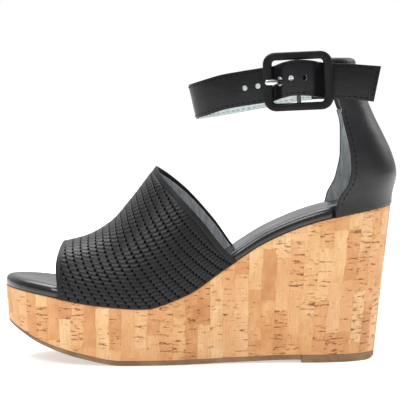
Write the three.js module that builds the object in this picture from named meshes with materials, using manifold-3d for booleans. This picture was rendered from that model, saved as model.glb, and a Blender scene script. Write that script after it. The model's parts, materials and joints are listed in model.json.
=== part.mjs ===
// Peep-toe wedge sandal, left foot, buckled. Millimetres, +Z up.
// Toe towards -X, heel towards +X, the outer (lateral) side of the foot towards -Y.
// The origin is under the middle of the bounding box, on the ground.
import * as THREE from 'three';
import { mergeVertices } from 'three/addons/utils/BufferGeometryUtils.js';
import Module from 'manifold-3d';

const wasm = await Module();
wasm.setup();

// ---------- driving dimensions ----------
const GAP = 0.3;                 // clearance between pieces that touch
const LATERAL = -1;
const MEDIAL = 1;
const SOLE_STATIONS = 36;        // steps along each side of the sole

// Plan of the top of the wedge, toe tip to heel tip, as [x, half width].
const TOE_TIP_X = -118.6;
const HEEL_TIP_X = 115.8;
const TIP_Y = { toe: 6, heel: 0.5 };
const SIDE_PLAN = {
  [LATERAL]: [[-112, 13], [-97, 27.5], [-74, 37.5], [-45, 41.5], [-15, 38.5], [20, 30.5],
    [50, 27], [80, 26.6], [99, 22], [110.5, 13]],
  [MEDIAL]: [[-113, 21], [-99, 32.5], [-77, 38], [-50, 39], [-20, 32], [15, 25],
    [45, 23.5], [78, 25.6], [98, 22], [110.5, 13]],
};

// Side profiles, [x, z].
const WEDGE_TOP = [[-120, 44.4], [-97, 41.3], [-62, 36], [-34, 34], [-8, 41.8], [14, 56.2],
  [41.5, 73.4], [70, 84.4], [90, 88.9], [120, 94.4]];
const WEDGE_BOTTOM = [[-120, 26.2], [-109, 20.2], [-96, 14], [-70, 6.8], [-46, 3], [-24, 3],
  [20, 3.8], [60, 4.8], [120, 4.8]];
const HEEL_LEAN = 9.6;           // how far the heel's back leans forward towards the ground
const TOE_LEAN = 1.6;
const SIDE_TAPER = 0.06;         // the wedge is this much narrower at the ground
const OUTSOLE_THICKNESS = 2.7;
const OUTSOLE_TOE_THICKNESS = 1.4;
const OUTSOLE_END_X = 60.5;
const TOP_PIECE_BEVEL = 2.2;
const CORK_THICKNESS = 2;

// Insole stack, heights above the top of the wedge.
const MARGIN_BOTTOM = 0.5;
const MARGIN_TOP = 1.5;
const BOARD = { bottom: 1.9, top: 4.6 };
const FOAM = { bottom: 4.9, top: 6.3 };
const FOOTBED = { inside: 6.6, top: 7.5, edgeRound: 0.9, fold: 9 };
const COVER_INSET = { bare: 0.5, inVamp: 2.3, inCounter: 3.7 };
const COVER_SIDE = 0.9;
const MARGIN_WIDTH = 12;
const GROOVE = { from: -12, to: 88, halfWidth: 5.6, top: 3.8 };
const SHANK = { from: -10, to: 86, halfWidth: 5, bottom: 2.6, top: 3.5 };
const RIVET = {
  radius: 1.5,
  headRadius: 3,
  headBottom: 2,
  headThickness: 0.25,
  belowBoardTop: 0.3,
  holeDepth: 12,
  sides: 14,
  frontX: -2,
  rearX: 78,
};
const SPINE_STATIONS = 16;       // places along the shank and its groove

// Vamp: crest line and the two ends of its side walls, [x, z].
const VAMP_CREST = [[-90, 69.6], [-83, 70.9], [-69.4, 74.4], [-54.3, 83.1], [-41.8, 97.2],
  [-27, 116.3], [0, 147], [30, 168]];
const VAMP_FRONT_X = -86.6;
const VAMP_FRONT_SWEEP = 3.4;
const TOPLINE = {                // [z, x] of the rear edge on each side
  [LATERAL]: [[56, 26.5], [62.5, 21.1], [70, 13.6], [84.7, 2.1], [98.3, -10.3], [113.4, -24.6],
    [117, -27.2]],
  [MEDIAL]: [[56, 29], [62, 24.5], [67, 20], [80.5, 10.4], [92, 0.8], [102, -8.7], [110, -18],
    [117, -27.2]],
};
const RIDGE_SHIFT = 4;           // the instep ridge lies towards the inner side of the foot
const VAMP_FULLNESS = 0.78;      // exponent of the arch at the front; it is 1 over the instep
const VAMP_CORNER = 2;           // how far the front edge's two feet are cut back
const VAMP = { proud: 0.6, inner: 0.6, liningOuter: 0.9, liningInner: 1.6, liningCutBack: 0.8 };

// Heel counter: back line [z, x], half width [z, w] and front edges [z, x].
const COUNTER_BACK = [[84, 113.6], [94.7, 115.9], [101.7, 118.4], [109.6, 119.3], [116.1, 118.6],
  [124.5, 116.2], [135.6, 111.1], [146.3, 105.7], [156.5, 101.2], [168, 97], [182.2, 92.9]];
const COUNTER_WIDTH = [[84, 27], [100, 28.4], [115, 29.4], [135, 27.8], [150, 26.8], [160, 27],
  [182.2, 27]];
const COUNTER_EDGE = {
  [LATERAL]: [[82, 78.4], [94.4, 83.2], [108.9, 89], [116, 90.2], [124, 89.8], [144.2, 85.6],
    [156, 82.6], [166, 78.8], [182.2, 77]],
  [MEDIAL]: [[82, 75], [94.6, 78.9], [111.5, 85], [124, 87.2], [140, 87], [156, 82.8], [166, 79],
    [182.2, 77]],
};
const COUNTER_TOP = 182.2;
const COUNTER_ROUND = 0.82;      // exponent of the counter's curve round the heel
const COUNTER_FOOT_Z = 88;
const COUNTER_OVER_EDGE = 0.55;  // how far the counter's foot stands behind the wedge's tip
const COUNTER_MIDDLE_X = 88;     // the folded margin points here
const COUNTER_PROBE_X = 112;     // the wedge's top here is near the height of the counter's foot
const COUNTER_BLEND = 22;        // height over which the sole's plan turns into the heel's
const COUNTER_SKIN = 1.3;
const STIFFENER = { outer: 1.6, inner: 2.7, top: 136 };
const COUNTER_LINING = { outer: 3, inner: 3.9, top: 152 };
const TUNNEL = { inside: 6.9, foldEnd: 150.5, pinchTop: 157.5, pinch: 4.6 };

// Ankle strap, threaded through the tunnel.
const STRAP_WIDTH = 21;
const STRAP = { outer: 1.25, outerInside: -0.05, liningOutside: -0.35, inner: -1.25 };
const STRAP_IN_TUNNEL = 3.6;     // depth of the strap's middle below the counter's surface
const TUNNEL_Z = 168;            // height of the strap's middle in the tunnel
const TUNNEL_SPAN = [0.12, 0.88];  // the part of the half turn the strap spends in the tunnel
const STRAP_LEAN = { front: 0.23, back: 0.32 };
const LEAN_FRONT_X = [-4, 24];   // the front lean fades out between these
const LEAN_BACK_X = [78, 92];    // the back lean starts between these
const LEAN_BACK_Y = [24.5, 27];  // and fades out towards both ends of the tunnel
const TAIL_SLANT = 4.2;
const HOLE = {
  radius: 1.6,
  depth: 4.4,
  pitch: 8,
  count: 6,
  used: 3,
  usedX: 47.6,
  usedLength: 2.06,
  usedHeight: 1.8,
};

// Buckle, with its frame in a plane beside the ankle.
const BUCKLE = { x: 57.8, y: -33.6, z: 168.4, width: 41, height: 34.6, tilt: 0.045 };
const BUCKLE_BAR = { side: 5.4, top: 4.7, depth: 4.4, corner: 6.6, windowCorner: 2.2 };
const CORE_BAR = { width: 2.6, depth: 2, corner: 5.2, windowCorner: 2.4 };
const CENTRE_BAR_RADIUS = 1.2;
const PRONG = { width: 3.2, halfThickness: 0.9, eyeInside: 1.55, eyeOutside: 2.5 };
const PRONG_TIP = { from: 0.9, scale: 0.7 };   // the last part of the arm is narrower
const PRONG_ROUND = 0.45;                      // thickness left at the arm's two edges
const PRONG_LINE = [[-2, 0], [-7, 0.3], [-10.8, 1], [-13, 2.4], [-15, 3.6], [-17.4, 3.7],
  [-19.7, 3.5]];                 // [across, out from the bar]
const CHAPE = { height: 17, halfThickness: 0.5, radius: 2.1, places: 40 };
const CHAPE_SLOT = { length: 9, depth: 8, height: 4.2, x: -1.2, y: -1 };
const CHAPE_WRAP = [0.35, -1.05];              // the half turns between which it wraps the bar
const CHAPE_OUTER_LEG = [[73.5, -25.45], [68, -25.45], [63.5, -26.8], [60.4, -30]];
const CHAPE_INNER_LEG = [[56.2, -30.8], [59.5, -26.6], [64, -21.9], [68, -21.15], [73.5, -21.15]];

// ---------- curves ----------

/** A smooth function through [input, output] points that never overshoots them. */
function curveThrough(points) {
  const last = points.length - 1;
  const chord = (i) => (points[i + 1][1] - points[i][1]) / (points[i + 1][0] - points[i][0]);
  const slope = (i) => {
    if (i === 0) return chord(0);
    if (i === last) return chord(last - 1);
    const before = chord(i - 1);
    const after = chord(i);
    return before * after > 0 ? (2 * before * after) / (before + after) : 0;
  };
  return (input) => {
    let i = 0;
    while (i < last - 1 && input > points[i + 1][0]) i += 1;
    const [x0, y0] = points[i];
    const [x1, y1] = points[i + 1];
    const step = x1 - x0;
    const t = THREE.MathUtils.clamp((input - x0) / step, 0, 1);
    const rise = (2 * t ** 3 - 3 * t ** 2 + 1) * y0 + (3 * t ** 2 - 2 * t ** 3) * y1;
    const bend = (t ** 3 - 2 * t ** 2 + t) * slope(i) + (t ** 3 - t ** 2) * slope(i + 1);
    return rise + bend * step;
  };
}

const ramp = THREE.MathUtils.smoothstep;
const mix = THREE.MathUtils.lerp;
const steps = (count) => Array.from({ length: count + 1 }, (_, i) => i / count);
const wedgeTop = curveThrough(WEDGE_TOP);
const wedgeBottom = curveThrough(WEDGE_BOTTOM);
const crest = curveThrough(VAMP_CREST);
const counterBack = curveThrough(COUNTER_BACK);
const counterWidth = curveThrough(COUNTER_WIDTH);
const topline = { [LATERAL]: curveThrough(TOPLINE[LATERAL]), [MEDIAL]: curveThrough(TOPLINE[MEDIAL]) };
const counterEdge = {
  [LATERAL]: curveThrough(COUNTER_EDGE[LATERAL]),
  [MEDIAL]: curveThrough(COUNTER_EDGE[MEDIAL]),
};

// ---------- plan of the sole ----------

/** One side of the sole's plan, as a curve from the toe's tip to the heel's tip. */
function sideCurve(side) {
  const toe = new THREE.Vector3(TOE_TIP_X, TIP_Y.toe, 0);
  const heel = new THREE.Vector3(HEEL_TIP_X, TIP_Y.heel, 0);
  const between = SIDE_PLAN[side].map(([x, width]) => new THREE.Vector3(x, side * width, 0));
  const other = SIDE_PLAN[-side].map(([x, width]) => new THREE.Vector3(x, -side * width, 0));
  const around = [toe, ...between, heel, ...other.reverse()];
  return { loop: new THREE.CatmullRomCurve3(around, true, 'centripetal'), spans: between.length + 1 };
}

const sides = { [LATERAL]: sideCurve(LATERAL), [MEDIAL]: sideCurve(MEDIAL) };

/** The point a share t of the way along one side, moved inwards. Both sides share the tips. */
function rim(side, t, inset = 0) {
  const own = t <= 0 || t >= 1 ? LATERAL : side;
  const { loop, spans } = sides[own];
  const u = (t * spans) / loop.points.length;
  const point = loop.getPoint(u);
  const ahead = loop.getPoint((u + 1e-4) % 1);
  const along = ahead.sub(loop.getPoint((u + 1 - 1e-4) % 1)).normalize();
  return new THREE.Vector2(point.x + own * along.y * inset, point.y - own * along.x * inset);
}

/** The sole's y at x on one side. */
function edgeY(side, x, inset = 0) {
  let low = 0;
  let high = 1;
  for (let i = 0; i < 40; i += 1) {
    const t = (low + high) / 2;
    if (rim(side, t, inset).x < x) low = t;
    else high = t;
  }
  return rim(side, low, inset).y;
}

/** Where a point of the sole's plan lies at the bottom of the wedge. */
function atGround({ x, y }) {
  const heelShift = HEEL_LEAN * ramp(x, 10, HEEL_TIP_X);
  const toeShift = TOE_LEAN * ramp(-x, 70, -TOE_TIP_X);
  return new THREE.Vector2(x - heelShift + toeShift, y * (1 - SIDE_TAPER));
}

const at = ({ x, y }, z) => new THREE.Vector3(x, y, z);

// ---------- solids ----------

/** Collects triangles over shared points and leaves out the ones that have no area. */
class Skin {
  constructor() {
    this.known = new Map();
    this.positions = [];
    this.triangles = [];
  }

  index(point) {
    const key = point.toArray().map((value) => Math.round(value * 2000)).join(' ');
    if (!this.known.has(key)) {
      this.known.set(key, this.positions.length / 3);
      this.positions.push(...point.toArray());
    }
    return this.known.get(key);
  }

  triangle(a, b, c) {
    const corners = [a, b, c].map((point) => this.index(point));
    if (new Set(corners).size === 3) this.triangles.push(...corners);
  }

  quad(a, b, c, d) {
    this.triangle(a, b, c);
    this.triangle(a, c, d);
  }

  geometry() {
    const made = new THREE.BufferGeometry();
    made.setAttribute('position', new THREE.Float32BufferAttribute(this.positions, 3));
    made.setIndex(this.triangles);
    return facingOut(made);
  }
}

/** The geometry's signed volume. */
function volume(geometry) {
  const spot = geometry.getAttribute('position');
  const corner = (i) => new THREE.Vector3().fromBufferAttribute(spot, geometry.index.getX(i));
  let sum = 0;
  for (let i = 0; i < geometry.index.count; i += 3) {
    sum += corner(i).dot(corner(i + 1).cross(corner(i + 2))) / 6;
  }
  return sum;
}

function facingOut(geometry) {
  if (volume(geometry) > 0) return geometry;
  geometry.setIndex([...geometry.index.array].reverse());
  return geometry;
}

/**
 * A closed solid between two grids of points with the same rows and columns. A row that runs into
 * a tip needs no end wall, and loop joins the last row to the first.
 */
function solidBetween(outer, inner, { start = true, end = true, loop = false } = {}) {
  const skin = new Skin();
  const rows = outer.length;
  const columns = outer[0].length;
  const bands = loop ? rows : rows - 1;
  for (let i = 0; i < bands; i += 1) {
    const k = (i + 1) % rows;
    for (let j = 0; j < columns - 1; j += 1) {
      skin.quad(outer[i][j], outer[k][j], outer[k][j + 1], outer[i][j + 1]);
      skin.quad(inner[i][j], inner[i][j + 1], inner[k][j + 1], inner[k][j]);
    }
    const edge = columns - 1;
    skin.quad(outer[i][0], inner[i][0], inner[k][0], outer[k][0]);
    skin.quad(outer[i][edge], outer[k][edge], inner[k][edge], inner[i][edge]);
  }
  for (const [row, wanted, turned] of [[0, start, false], [rows - 1, end, true]]) {
    for (let j = 0; wanted && !loop && j < columns - 1; j += 1) {
      const wall = [outer[row][j], outer[row][j + 1], inner[row][j + 1], inner[row][j]];
      skin.quad(...(turned ? wall.reverse() : wall));
    }
  }
  return skin.geometry();
}

function toManifold(geometry) {
  const bare = geometry.clone();
  bare.deleteAttribute('normal');
  bare.deleteAttribute('uv');
  const merged = mergeVertices(bare, 1e-4);
  return new wasm.Manifold(new wasm.Mesh({
    numProp: 3,
    vertProperties: new Float32Array(merged.getAttribute('position').array),
    triVerts: new Uint32Array(merged.index.array),
  }));
}

function fromManifold(solid) {
  const mesh = solid.getMesh();
  const made = new THREE.BufferGeometry();
  made.setAttribute('position', new THREE.BufferAttribute(mesh.vertProperties, 3));
  made.setIndex(new THREE.BufferAttribute(mesh.triVerts, 1));
  return made;
}

const without = (body, tools) => fromManifold(
  tools.reduce((left, tool) => left.subtract(toManifold(tool)), toManifold(body)),
);
const joined = (body, others) => fromManifold(
  others.reduce((sum, other) => sum.add(toManifold(other)), toManifold(body)),
);

// ---------- sole unit ----------

/** A layer over the sole's plan, from one height above the wedge to another. */
function layer(insetAt, bottom, top) {
  const row = (height) => (t) => [LATERAL, MEDIAL].map((side) => {
    const spot = rim(side, t, insetAt(side, rim(side, t).x));
    return at(spot, wedgeTop(spot.x) + height);
  });
  const shares = steps(SOLE_STATIONS);
  return solidBetween(shares.map(row(top)), shares.map(row(bottom)), { start: false, end: false });
}

function makeWedgeCore() {
  const inset = CORK_THICKNESS + GAP;
  const row = (high) => (t) => [LATERAL, MEDIAL].map((side) => {
    const top = rim(side, t, inset);
    const low = atGround(top);
    return high ? at(top, wedgeTop(top.x)) : at(low, wedgeBottom(low.x));
  });
  const shares = steps(SOLE_STATIONS);
  return solidBetween(shares.map(row(true)), shares.map(row(false)), { start: false, end: false });
}

function makeCorkWrap() {
  const shares = steps(SOLE_STATIONS);
  const out = shares.map((t) => [LATERAL, t]);
  const back = shares.slice(1, -1).reverse().map((t) => [MEDIAL, t]);
  const round = [...out, ...back];
  const row = (inset) => ([side, t]) => {
    const top = rim(side, t, inset);
    const low = atGround(top);
    return [at(top, wedgeTop(top.x)), at(low, wedgeBottom(low.x))];
  };
  return solidBetween(round.map(row(0)), round.map(row(CORK_THICKNESS)), { loop: true });
}

/** The share of the way along a side where the wedge's bottom passes x. */
function shareAtGround(side, x) {
  let low = 0;
  let high = 1;
  for (let i = 0; i < 40; i += 1) {
    const t = (low + high) / 2;
    if (atGround(rim(side, t)).x < x) low = t;
    else high = t;
  }
  return low;
}

/** A rubber layer under the wedge between two shares of each side. */
function treadRows(fromX, toX, height) {
  return steps(SOLE_STATIONS).map((share) => [LATERAL, MEDIAL].map((side) => {
    const from = fromX === null ? 0 : shareAtGround(side, fromX);
    const to = toX === null ? 1 : shareAtGround(side, toX);
    const spot = atGround(rim(side, mix(from, to, share), 0.2));
    return at(spot, height(spot.x));
  }));
}

function makeOutsole() {
  const thickness = (x) => mix(OUTSOLE_TOE_THICKNESS, OUTSOLE_THICKNESS, ramp(x, TOE_TIP_X, -70));
  const top = treadRows(null, OUTSOLE_END_X, (x) => wedgeBottom(x) - GAP);
  const bottom = treadRows(null, OUTSOLE_END_X, (x) => wedgeBottom(x) - GAP - thickness(x));
  return solidBetween(top, bottom, { start: false });
}

function makeHeelTopPiece() {
  const back = atGround({ x: HEEL_TIP_X, y: 0 }).x;
  const lift = (x) => TOP_PIECE_BEVEL * ramp(x, back - 7, back + 1) ** 2;
  const start = OUTSOLE_END_X + GAP;
  const top = treadRows(start, null, (x) => wedgeBottom(x) - GAP);
  return solidBetween(top, treadRows(start, null, lift), { end: false });
}

// ---------- insole unit ----------

/** How far x on one side is under the vamp and under the counter, each from 0 to 1. */
function underUpper(side, x) {
  const vamp = ramp(x, VAMP_FRONT_X - 11, VAMP_FRONT_X - 5) * (1 - ramp(x, 30, 36));
  const edge = counterEdge[side](90);
  return { vamp, counter: ramp(x, edge - 12, edge - 6) };
}

/** How far the footbed's edge stands inside the wedge's edge: more where the upper passes it. */
function coverInset(side, x) {
  const { vamp, counter } = underUpper(side, x);
  const { bare, inVamp, inCounter } = COVER_INSET;
  return bare + (inVamp - bare) * vamp + (inCounter - bare) * counter;
}

/** How far what the footbed's cover wraps stands inside the wedge's edge. */
function insideCover(side, x) {
  return coverInset(side, x) + COVER_SIDE + GAP;
}

/** The cover's section at one place, as [inset, height] points outside and inside. */
function coverSection(side, x) {
  const { vamp, counter } = underUpper(side, x);
  const raised = Math.max(vamp, counter);
  const { inside, top, edgeRound, fold } = FOOTBED;
  const bottom = mix(GAP, MARGIN_TOP + 0.25, raised);
  const foldTop = mix(MARGIN_TOP, BOARD.bottom - 0.04, raised);
  const foldEnd = mix(fold, COVER_SIDE - 0.1, ramp(raised, 0, 0.3));
  return {
    outside: [[foldEnd, bottom], [0, bottom], [0, top - edgeRound], [edgeRound, top], [fold, top]],
    within: [[foldEnd, foldTop], [COVER_SIDE, foldTop], [COVER_SIDE, inside - 0.2],
      [COVER_SIDE + 0.2, inside], [fold, inside]],
  };
}

function makeFootbedCover() {
  const row = (part) => (t) => {
    const half = (side) => {
      const { x } = rim(side, t);
      return coverSection(side, x)[part].map(([inset, height]) => {
        const spot = rim(side, t, inset + coverInset(side, x));
        return at(spot, wedgeTop(spot.x) + height);
      });
    };
    return [...half(LATERAL), ...half(MEDIAL).reverse()];
  };
  const shares = steps(SOLE_STATIONS);
  const tips = { start: false, end: false };
  return solidBetween(shares.map(row('outside')), shares.map(row('within')), tips);
}

/** A bar along the middle of the sole that follows the wedge's top. */
function spineBar(from, to, halfWidth, bottom, top) {
  const row = (height) => (share) => {
    const x = mix(from, to, share);
    const middle = (edgeY(LATERAL, x) + edgeY(MEDIAL, x)) / 2;
    return [-halfWidth, halfWidth].map((y) => new THREE.Vector3(x, middle + y, wedgeTop(x) + height));
  };
  const places = steps(SPINE_STATIONS);
  return solidBetween(places.map(row(top)), places.map(row(bottom)));
}

/** Turns a shape made about the Z axis to stand on the insole at x. */
function onInsole(geometry, x) {
  const pitch = Math.atan2(wedgeTop(x + 1) - wedgeTop(x - 1), 2);
  const middle = (edgeY(LATERAL, x) + edgeY(MEDIAL, x)) / 2;
  return geometry.scale(1, 1, Math.cos(pitch)).rotateY(-pitch).translate(x, middle, wedgeTop(x));
}

function rivetHole(x) {
  const radius = RIVET.radius + GAP;
  const hole = new THREE.CylinderGeometry(radius, radius, RIVET.holeDepth, RIVET.sides);
  return onInsole(hole.rotateX(Math.PI / 2), x);
}

function makeRivet(x) {
  const { radius, headRadius, headBottom, headThickness, belowBoardTop, sides } = RIVET;
  const headTop = headBottom + headThickness;
  const top = BOARD.top - belowBoardTop;
  const profile = [[0, headBottom], [headRadius, headBottom], [headRadius, headTop],
    [radius, headTop], [radius, top], [0, top]];
  const turned = new THREE.LatheGeometry(profile.map(([r, z]) => new THREE.Vector2(r, z)), sides);
  return onInsole(turned.rotateX(Math.PI / 2), x);
}

function makeInsoleBoard() {
  const board = layer(insideCover, BOARD.bottom, BOARD.top);
  const groove = spineBar(GROOVE.from, GROOVE.to, GROOVE.halfWidth, 0, GROOVE.top);
  return without(board, [groove, rivetHole(RIVET.frontX), rivetHole(RIVET.rearX)]);
}

function makeShank() {
  const bar = spineBar(SHANK.from, SHANK.to, SHANK.halfWidth, SHANK.bottom, SHANK.top);
  return without(bar, [rivetHole(RIVET.frontX), rivetHole(RIVET.rearX)]);
}

// ---------- vamp ----------

/** The vamp's surface at x, a half turn from the lateral edge over the instep to the medial one. */
function vampPoint(x, turn, depth) {
  const left = edgeY(LATERAL, x, -VAMP.proud);
  const right = edgeY(MEDIAL, x, -VAMP.proud);
  const fullness = mix(VAMP_FULLNESS, 1, ramp(x, -86, -25));
  const across = Math.cos(turn);
  const up = Math.sin(turn);
  const half = (right - left) / 2 - depth;
  const base = wedgeTop(x) + MARGIN_BOTTOM;
  const reach = Math.sign(across) * Math.abs(across) ** fullness;
  const y = (left + right) / 2 - half * reach + RIDGE_SHIFT * up * up * ramp(x, -80, -30);
  const z = base + (crest(x) - base - depth) * up ** fullness;
  return new THREE.Vector3(x, y, z);
}

function vampFrontX(turn) {
  const middle = VAMP_FRONT_SWEEP * Math.sin(turn) ** 3;
  return VAMP_FRONT_X + middle + VAMP_CORNER * Math.cos(turn) ** 12;
}

/** Where the rear edge cuts the surface at this turn. */
function vampRearX(turn) {
  const side = turn < Math.PI / 2 ? LATERAL : MEDIAL;
  let low = -60;
  let high = 40;
  for (let i = 0; i < 40; i += 1) {
    const x = (low + high) / 2;
    if (x < topline[side](vampPoint(x, turn, 0).z)) low = x;
    else high = x;
  }
  return low;
}

const VAMP_TURNS = steps(20).map((share) => Math.PI * share);
const VAMP_ROWS = 14;

/** Rows of points over the vamp from its front edge to its rear edge, cut back from both. */
function vampRows(depth, cutBack) {
  const reach = VAMP_TURNS.map((turn) => [vampFrontX(turn) + cutBack, vampRearX(turn) - cutBack]);
  return steps(VAMP_ROWS).map((share) => VAMP_TURNS.map((turn, k) => (
    vampPoint(mix(reach[k][0], reach[k][1], share), turn, depth))));
}

/** Sets both ends of every row at a height above the wedge. */
function footAt(rows, height) {
  for (const row of rows) {
    for (const foot of [row[0], row[row.length - 1]]) foot.z = wedgeTop(foot.x) + height;
  }
  return rows;
}

/** Adds the lasted margin, folded in under the insole on both sides. */
function withMargin(rows, width, height) {
  return rows.map((row) => {
    const folded = (side, corner) => {
      const y = edgeY(side, corner.x, width);
      return new THREE.Vector3(corner.x, y, wedgeTop(corner.x) + height);
    };
    const first = row[0];
    const last = row[row.length - 1];
    return [folded(LATERAL, first), ...row, folded(MEDIAL, last)];
  });
}

function makeVampOuter() {
  const outside = withMargin(vampRows(0, 0), MARGIN_WIDTH, MARGIN_BOTTOM);
  const inside = footAt(vampRows(VAMP.proud + VAMP.inner, 0), MARGIN_TOP);
  return solidBetween(outside, withMargin(inside, MARGIN_WIDTH, MARGIN_TOP));
}

function makeVampLining() {
  const { proud, liningOuter, liningInner, liningCutBack } = VAMP;
  const layer = (depth) => footAt(vampRows(proud + depth, liningCutBack), MARGIN_TOP + GAP);
  return solidBetween(layer(liningOuter), layer(liningInner));
}

// ---------- heel counter ----------

/** The counter's surface at height z, a half turn from the lateral edge round the back. */
function counterPoint(z, turn, depth) {
  const side = turn < Math.PI / 2 ? LATERAL : MEDIAL;
  const back = Math.sin(turn) ** COUNTER_ROUND;
  const reach = Math.sign(Math.cos(turn)) * Math.abs(Math.cos(turn)) ** COUNTER_ROUND;
  const edge = counterEdge[side](z);
  const upper = new THREE.Vector2(
    mix(edge, counterBack(z) - depth, back),
    -(counterWidth(z) - depth) * reach,
  );
  const backX = HEEL_TIP_X + COUNTER_OVER_EDGE;
  const footX = Math.min(mix(counterEdge[side](COUNTER_FOOT_Z), backX, back), backX);
  const footY = edgeY(side, footX - 0.05, -VAMP.proud) - side * depth * Math.abs(reach);
  const foot = new THREE.Vector2(footX - depth * back, footY);
  const rise = ramp(z - wedgeTop(foot.x), 0, COUNTER_BLEND);
  return at(foot.lerp(upper, rise), z);
}

const COUNTER_TURNS = steps(22).map((share) => Math.PI * share);

/** Columns round the counter through [depth, z] or [depth, height above the wedge, true] points. */
function counterRows(profile) {
  return COUNTER_TURNS.map((turn) => profile.map(([depth, height, onWedge]) => {
    if (!onWedge) return counterPoint(height, turn, depth);
    const probe = counterPoint(wedgeTop(COUNTER_PROBE_X), turn, depth);
    const z = wedgeTop(probe.x) + height;
    return counterPoint(z, turn, depth);
  }));
}

/** The lasted margin of the counter, folded in over the wedge. */
function counterMargin(height) {
  return COUNTER_TURNS.map((turn) => {
    const outside = counterPoint(wedgeTop(COUNTER_PROBE_X), turn, 0);
    const middle = new THREE.Vector2(COUNTER_MIDDLE_X, 0);
    const spot = new THREE.Vector2(outside.x, outside.y);
    const inward = middle.clone().sub(spot).setLength(MARGIN_WIDTH);
    const end = spot.add(inward);
    return at(end, wedgeTop(end.x) + height);
  });
}

const UPPER_HEIGHTS = [100, 108, 116, 125, 136, 147, 157.5, 168];

function makeCounterOuter() {
  const { inside, foldEnd, pinchTop, pinch } = TUNNEL;
  const skin = COUNTER_SKIN;
  const rising = (depth) => UPPER_HEIGHTS.map((z) => [depth, z]);
  const fold = (depth) => [[inside + depth, pinchTop], [pinch + depth, foldEnd]];
  const outside = counterRows([[0, MARGIN_BOTTOM, true], ...rising(0), [0, COUNTER_TOP],
    [inside + skin, COUNTER_TOP], ...fold(skin)]);
  const within = counterRows([[skin, MARGIN_TOP, true], ...rising(skin), [skin, COUNTER_TOP - skin],
    [inside, COUNTER_TOP - skin], ...fold(0)]);
  const low = counterMargin(MARGIN_BOTTOM);
  const high = counterMargin(MARGIN_TOP);
  const whole = (margin, rows) => rows.map((row, i) => [margin[i], ...row]);
  return solidBetween(whole(low, outside), whole(high, within));
}

function counterLayer(outer, inner, top) {
  const heights = UPPER_HEIGHTS.filter((z) => z < top - 2);
  const rows = (depth) => counterRows([[depth, MARGIN_TOP + GAP, true], ...heights.map((z) => [depth, z]),
    [depth, top]]);
  return solidBetween(rows(outer), rows(inner));
}

// ---------- ankle strap ----------

/** The strap's route round the tunnel, from the lateral side to the medial one. */
function tunnelRoute() {
  return steps(10).map((share) => {
    const turn = mix(TUNNEL_SPAN[0], TUNNEL_SPAN[1], share) * Math.PI;
    return counterPoint(TUNNEL_Z, turn, STRAP_IN_TUNNEL);
  });
}

/** Middle of the strap from the buckle round the heel and the ankle to its free end. */
function strapRoute() {
  const toAnkle = [[62, 25.6, 166], [42, 26, 162.2], [22, 22.6, 158.6], [6, 14.6, 156.2],
    [-2.4, 5, 155.2], [-3.2, -4, 155.8], [3, -13.5, 158.1], [14, -20.8, 161.7], [26, -25.6, 164],
    [37, -28.4, 165.8], [44.3, -28.9, 167]];
  const overBar = [[46.9, -32.4, 168], [50, -36.8, 169.2], [53.6, -37.8, 170.2],
    [57.8, -37.9, 170.5], [62, -37.4, 170.4], [66.2, -34.3, 169.9], [70, -30.3, 169.2],
    [74.5, -28.9, 168.7], [80, -28.9, 168.4], [90, -29.1, 168], [104.8, -28.5, 166.7]];
  const start = [[66.2, -23.3, 168.2], [73, -23.3, 168.1]];
  const points = [...start, ...tunnelRoute().map((p) => p.toArray()), ...toAnkle, ...overBar];
  return new THREE.CatmullRomCurve3(points.map((p) => new THREE.Vector3(...p)), false, 'centripetal');
}

const route = strapRoute();
const ROUTE_POINTS = route.points.length - 1;
const STRAP_PLACES_PER_SPAN = 3;

/** The strap's frame at a share of its route: middle, outward direction and edge direction. */
function strapFrame(u) {
  const middle = route.getPoint(u);
  const along = route.getTangent(u);
  const out = new THREE.Vector3(-along.y, along.x, 0).normalize();
  const frontLean = STRAP_LEAN.front * (1 - ramp(middle.x, ...LEAN_FRONT_X));
  const inTunnel = ramp(middle.x, ...LEAN_BACK_X) * (1 - ramp(Math.abs(middle.y), ...LEAN_BACK_Y));
  const lean = frontLean + STRAP_LEAN.back * inTunnel;
  const up = new THREE.Vector3(-lean, 0, 1).normalize();
  return { middle, out: out.negate(), up };
}

function strapBand(near, far) {
  const places = steps(ROUTE_POINTS * STRAP_PLACES_PER_SPAN);
  const row = (depth) => (u) => {
    const { middle, out, up } = strapFrame(u);
    const slant = u === 1 ? TAIL_SLANT : 0;
    return [-0.5, 0.5].map((edge) => {
      const spot = middle.clone().addScaledVector(out, depth).addScaledVector(up, edge * STRAP_WIDTH);
      spot.x += slant * edge;
      return spot;
    });
  };
  return solidBetween(places.map(row(near)), places.map(row(far)));
}

/** The share of the route where the strap reaches x beside the buckle. */
function shareBesideBuckle(x) {
  let low = 0.72;
  let high = 1;
  for (let i = 0; i < 40; i += 1) {
    const u = (low + high) / 2;
    if (route.getPoint(u).x < x) low = u;
    else high = u;
  }
  return low;
}

/** The share of the route a distance further on. */
function furtherAlong(start, distance) {
  const pieces = 40;
  const small = 1e-4;
  let u = start;
  for (let i = 0; i < pieces; i += 1) {
    const speed = route.getPoint(u + small).distanceTo(route.getPoint(u - small)) / (2 * small);
    u += distance / pieces / speed;
  }
  return u;
}

/** Punches for the strap's holes. The one in use is stretched by the prong. */
function strapHoles() {
  const start = shareBesideBuckle(HOLE.usedX);
  return Array.from({ length: HOLE.count }, (_, k) => {
    const inUse = k === HOLE.used;
    const { middle, out } = strapFrame(furtherAlong(start, (k - HOLE.used) * HOLE.pitch));
    const punch = new THREE.CylinderGeometry(HOLE.radius, HOLE.radius, HOLE.depth, 12);
    if (inUse) punch.scale(HOLE.usedLength, 1, HOLE.usedHeight);
    const turn = Math.atan2(out.y, out.x) - Math.PI / 2;
    return punch.rotateZ(turn).translate(...middle.toArray());
  });
}

// ---------- buckle ----------

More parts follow.
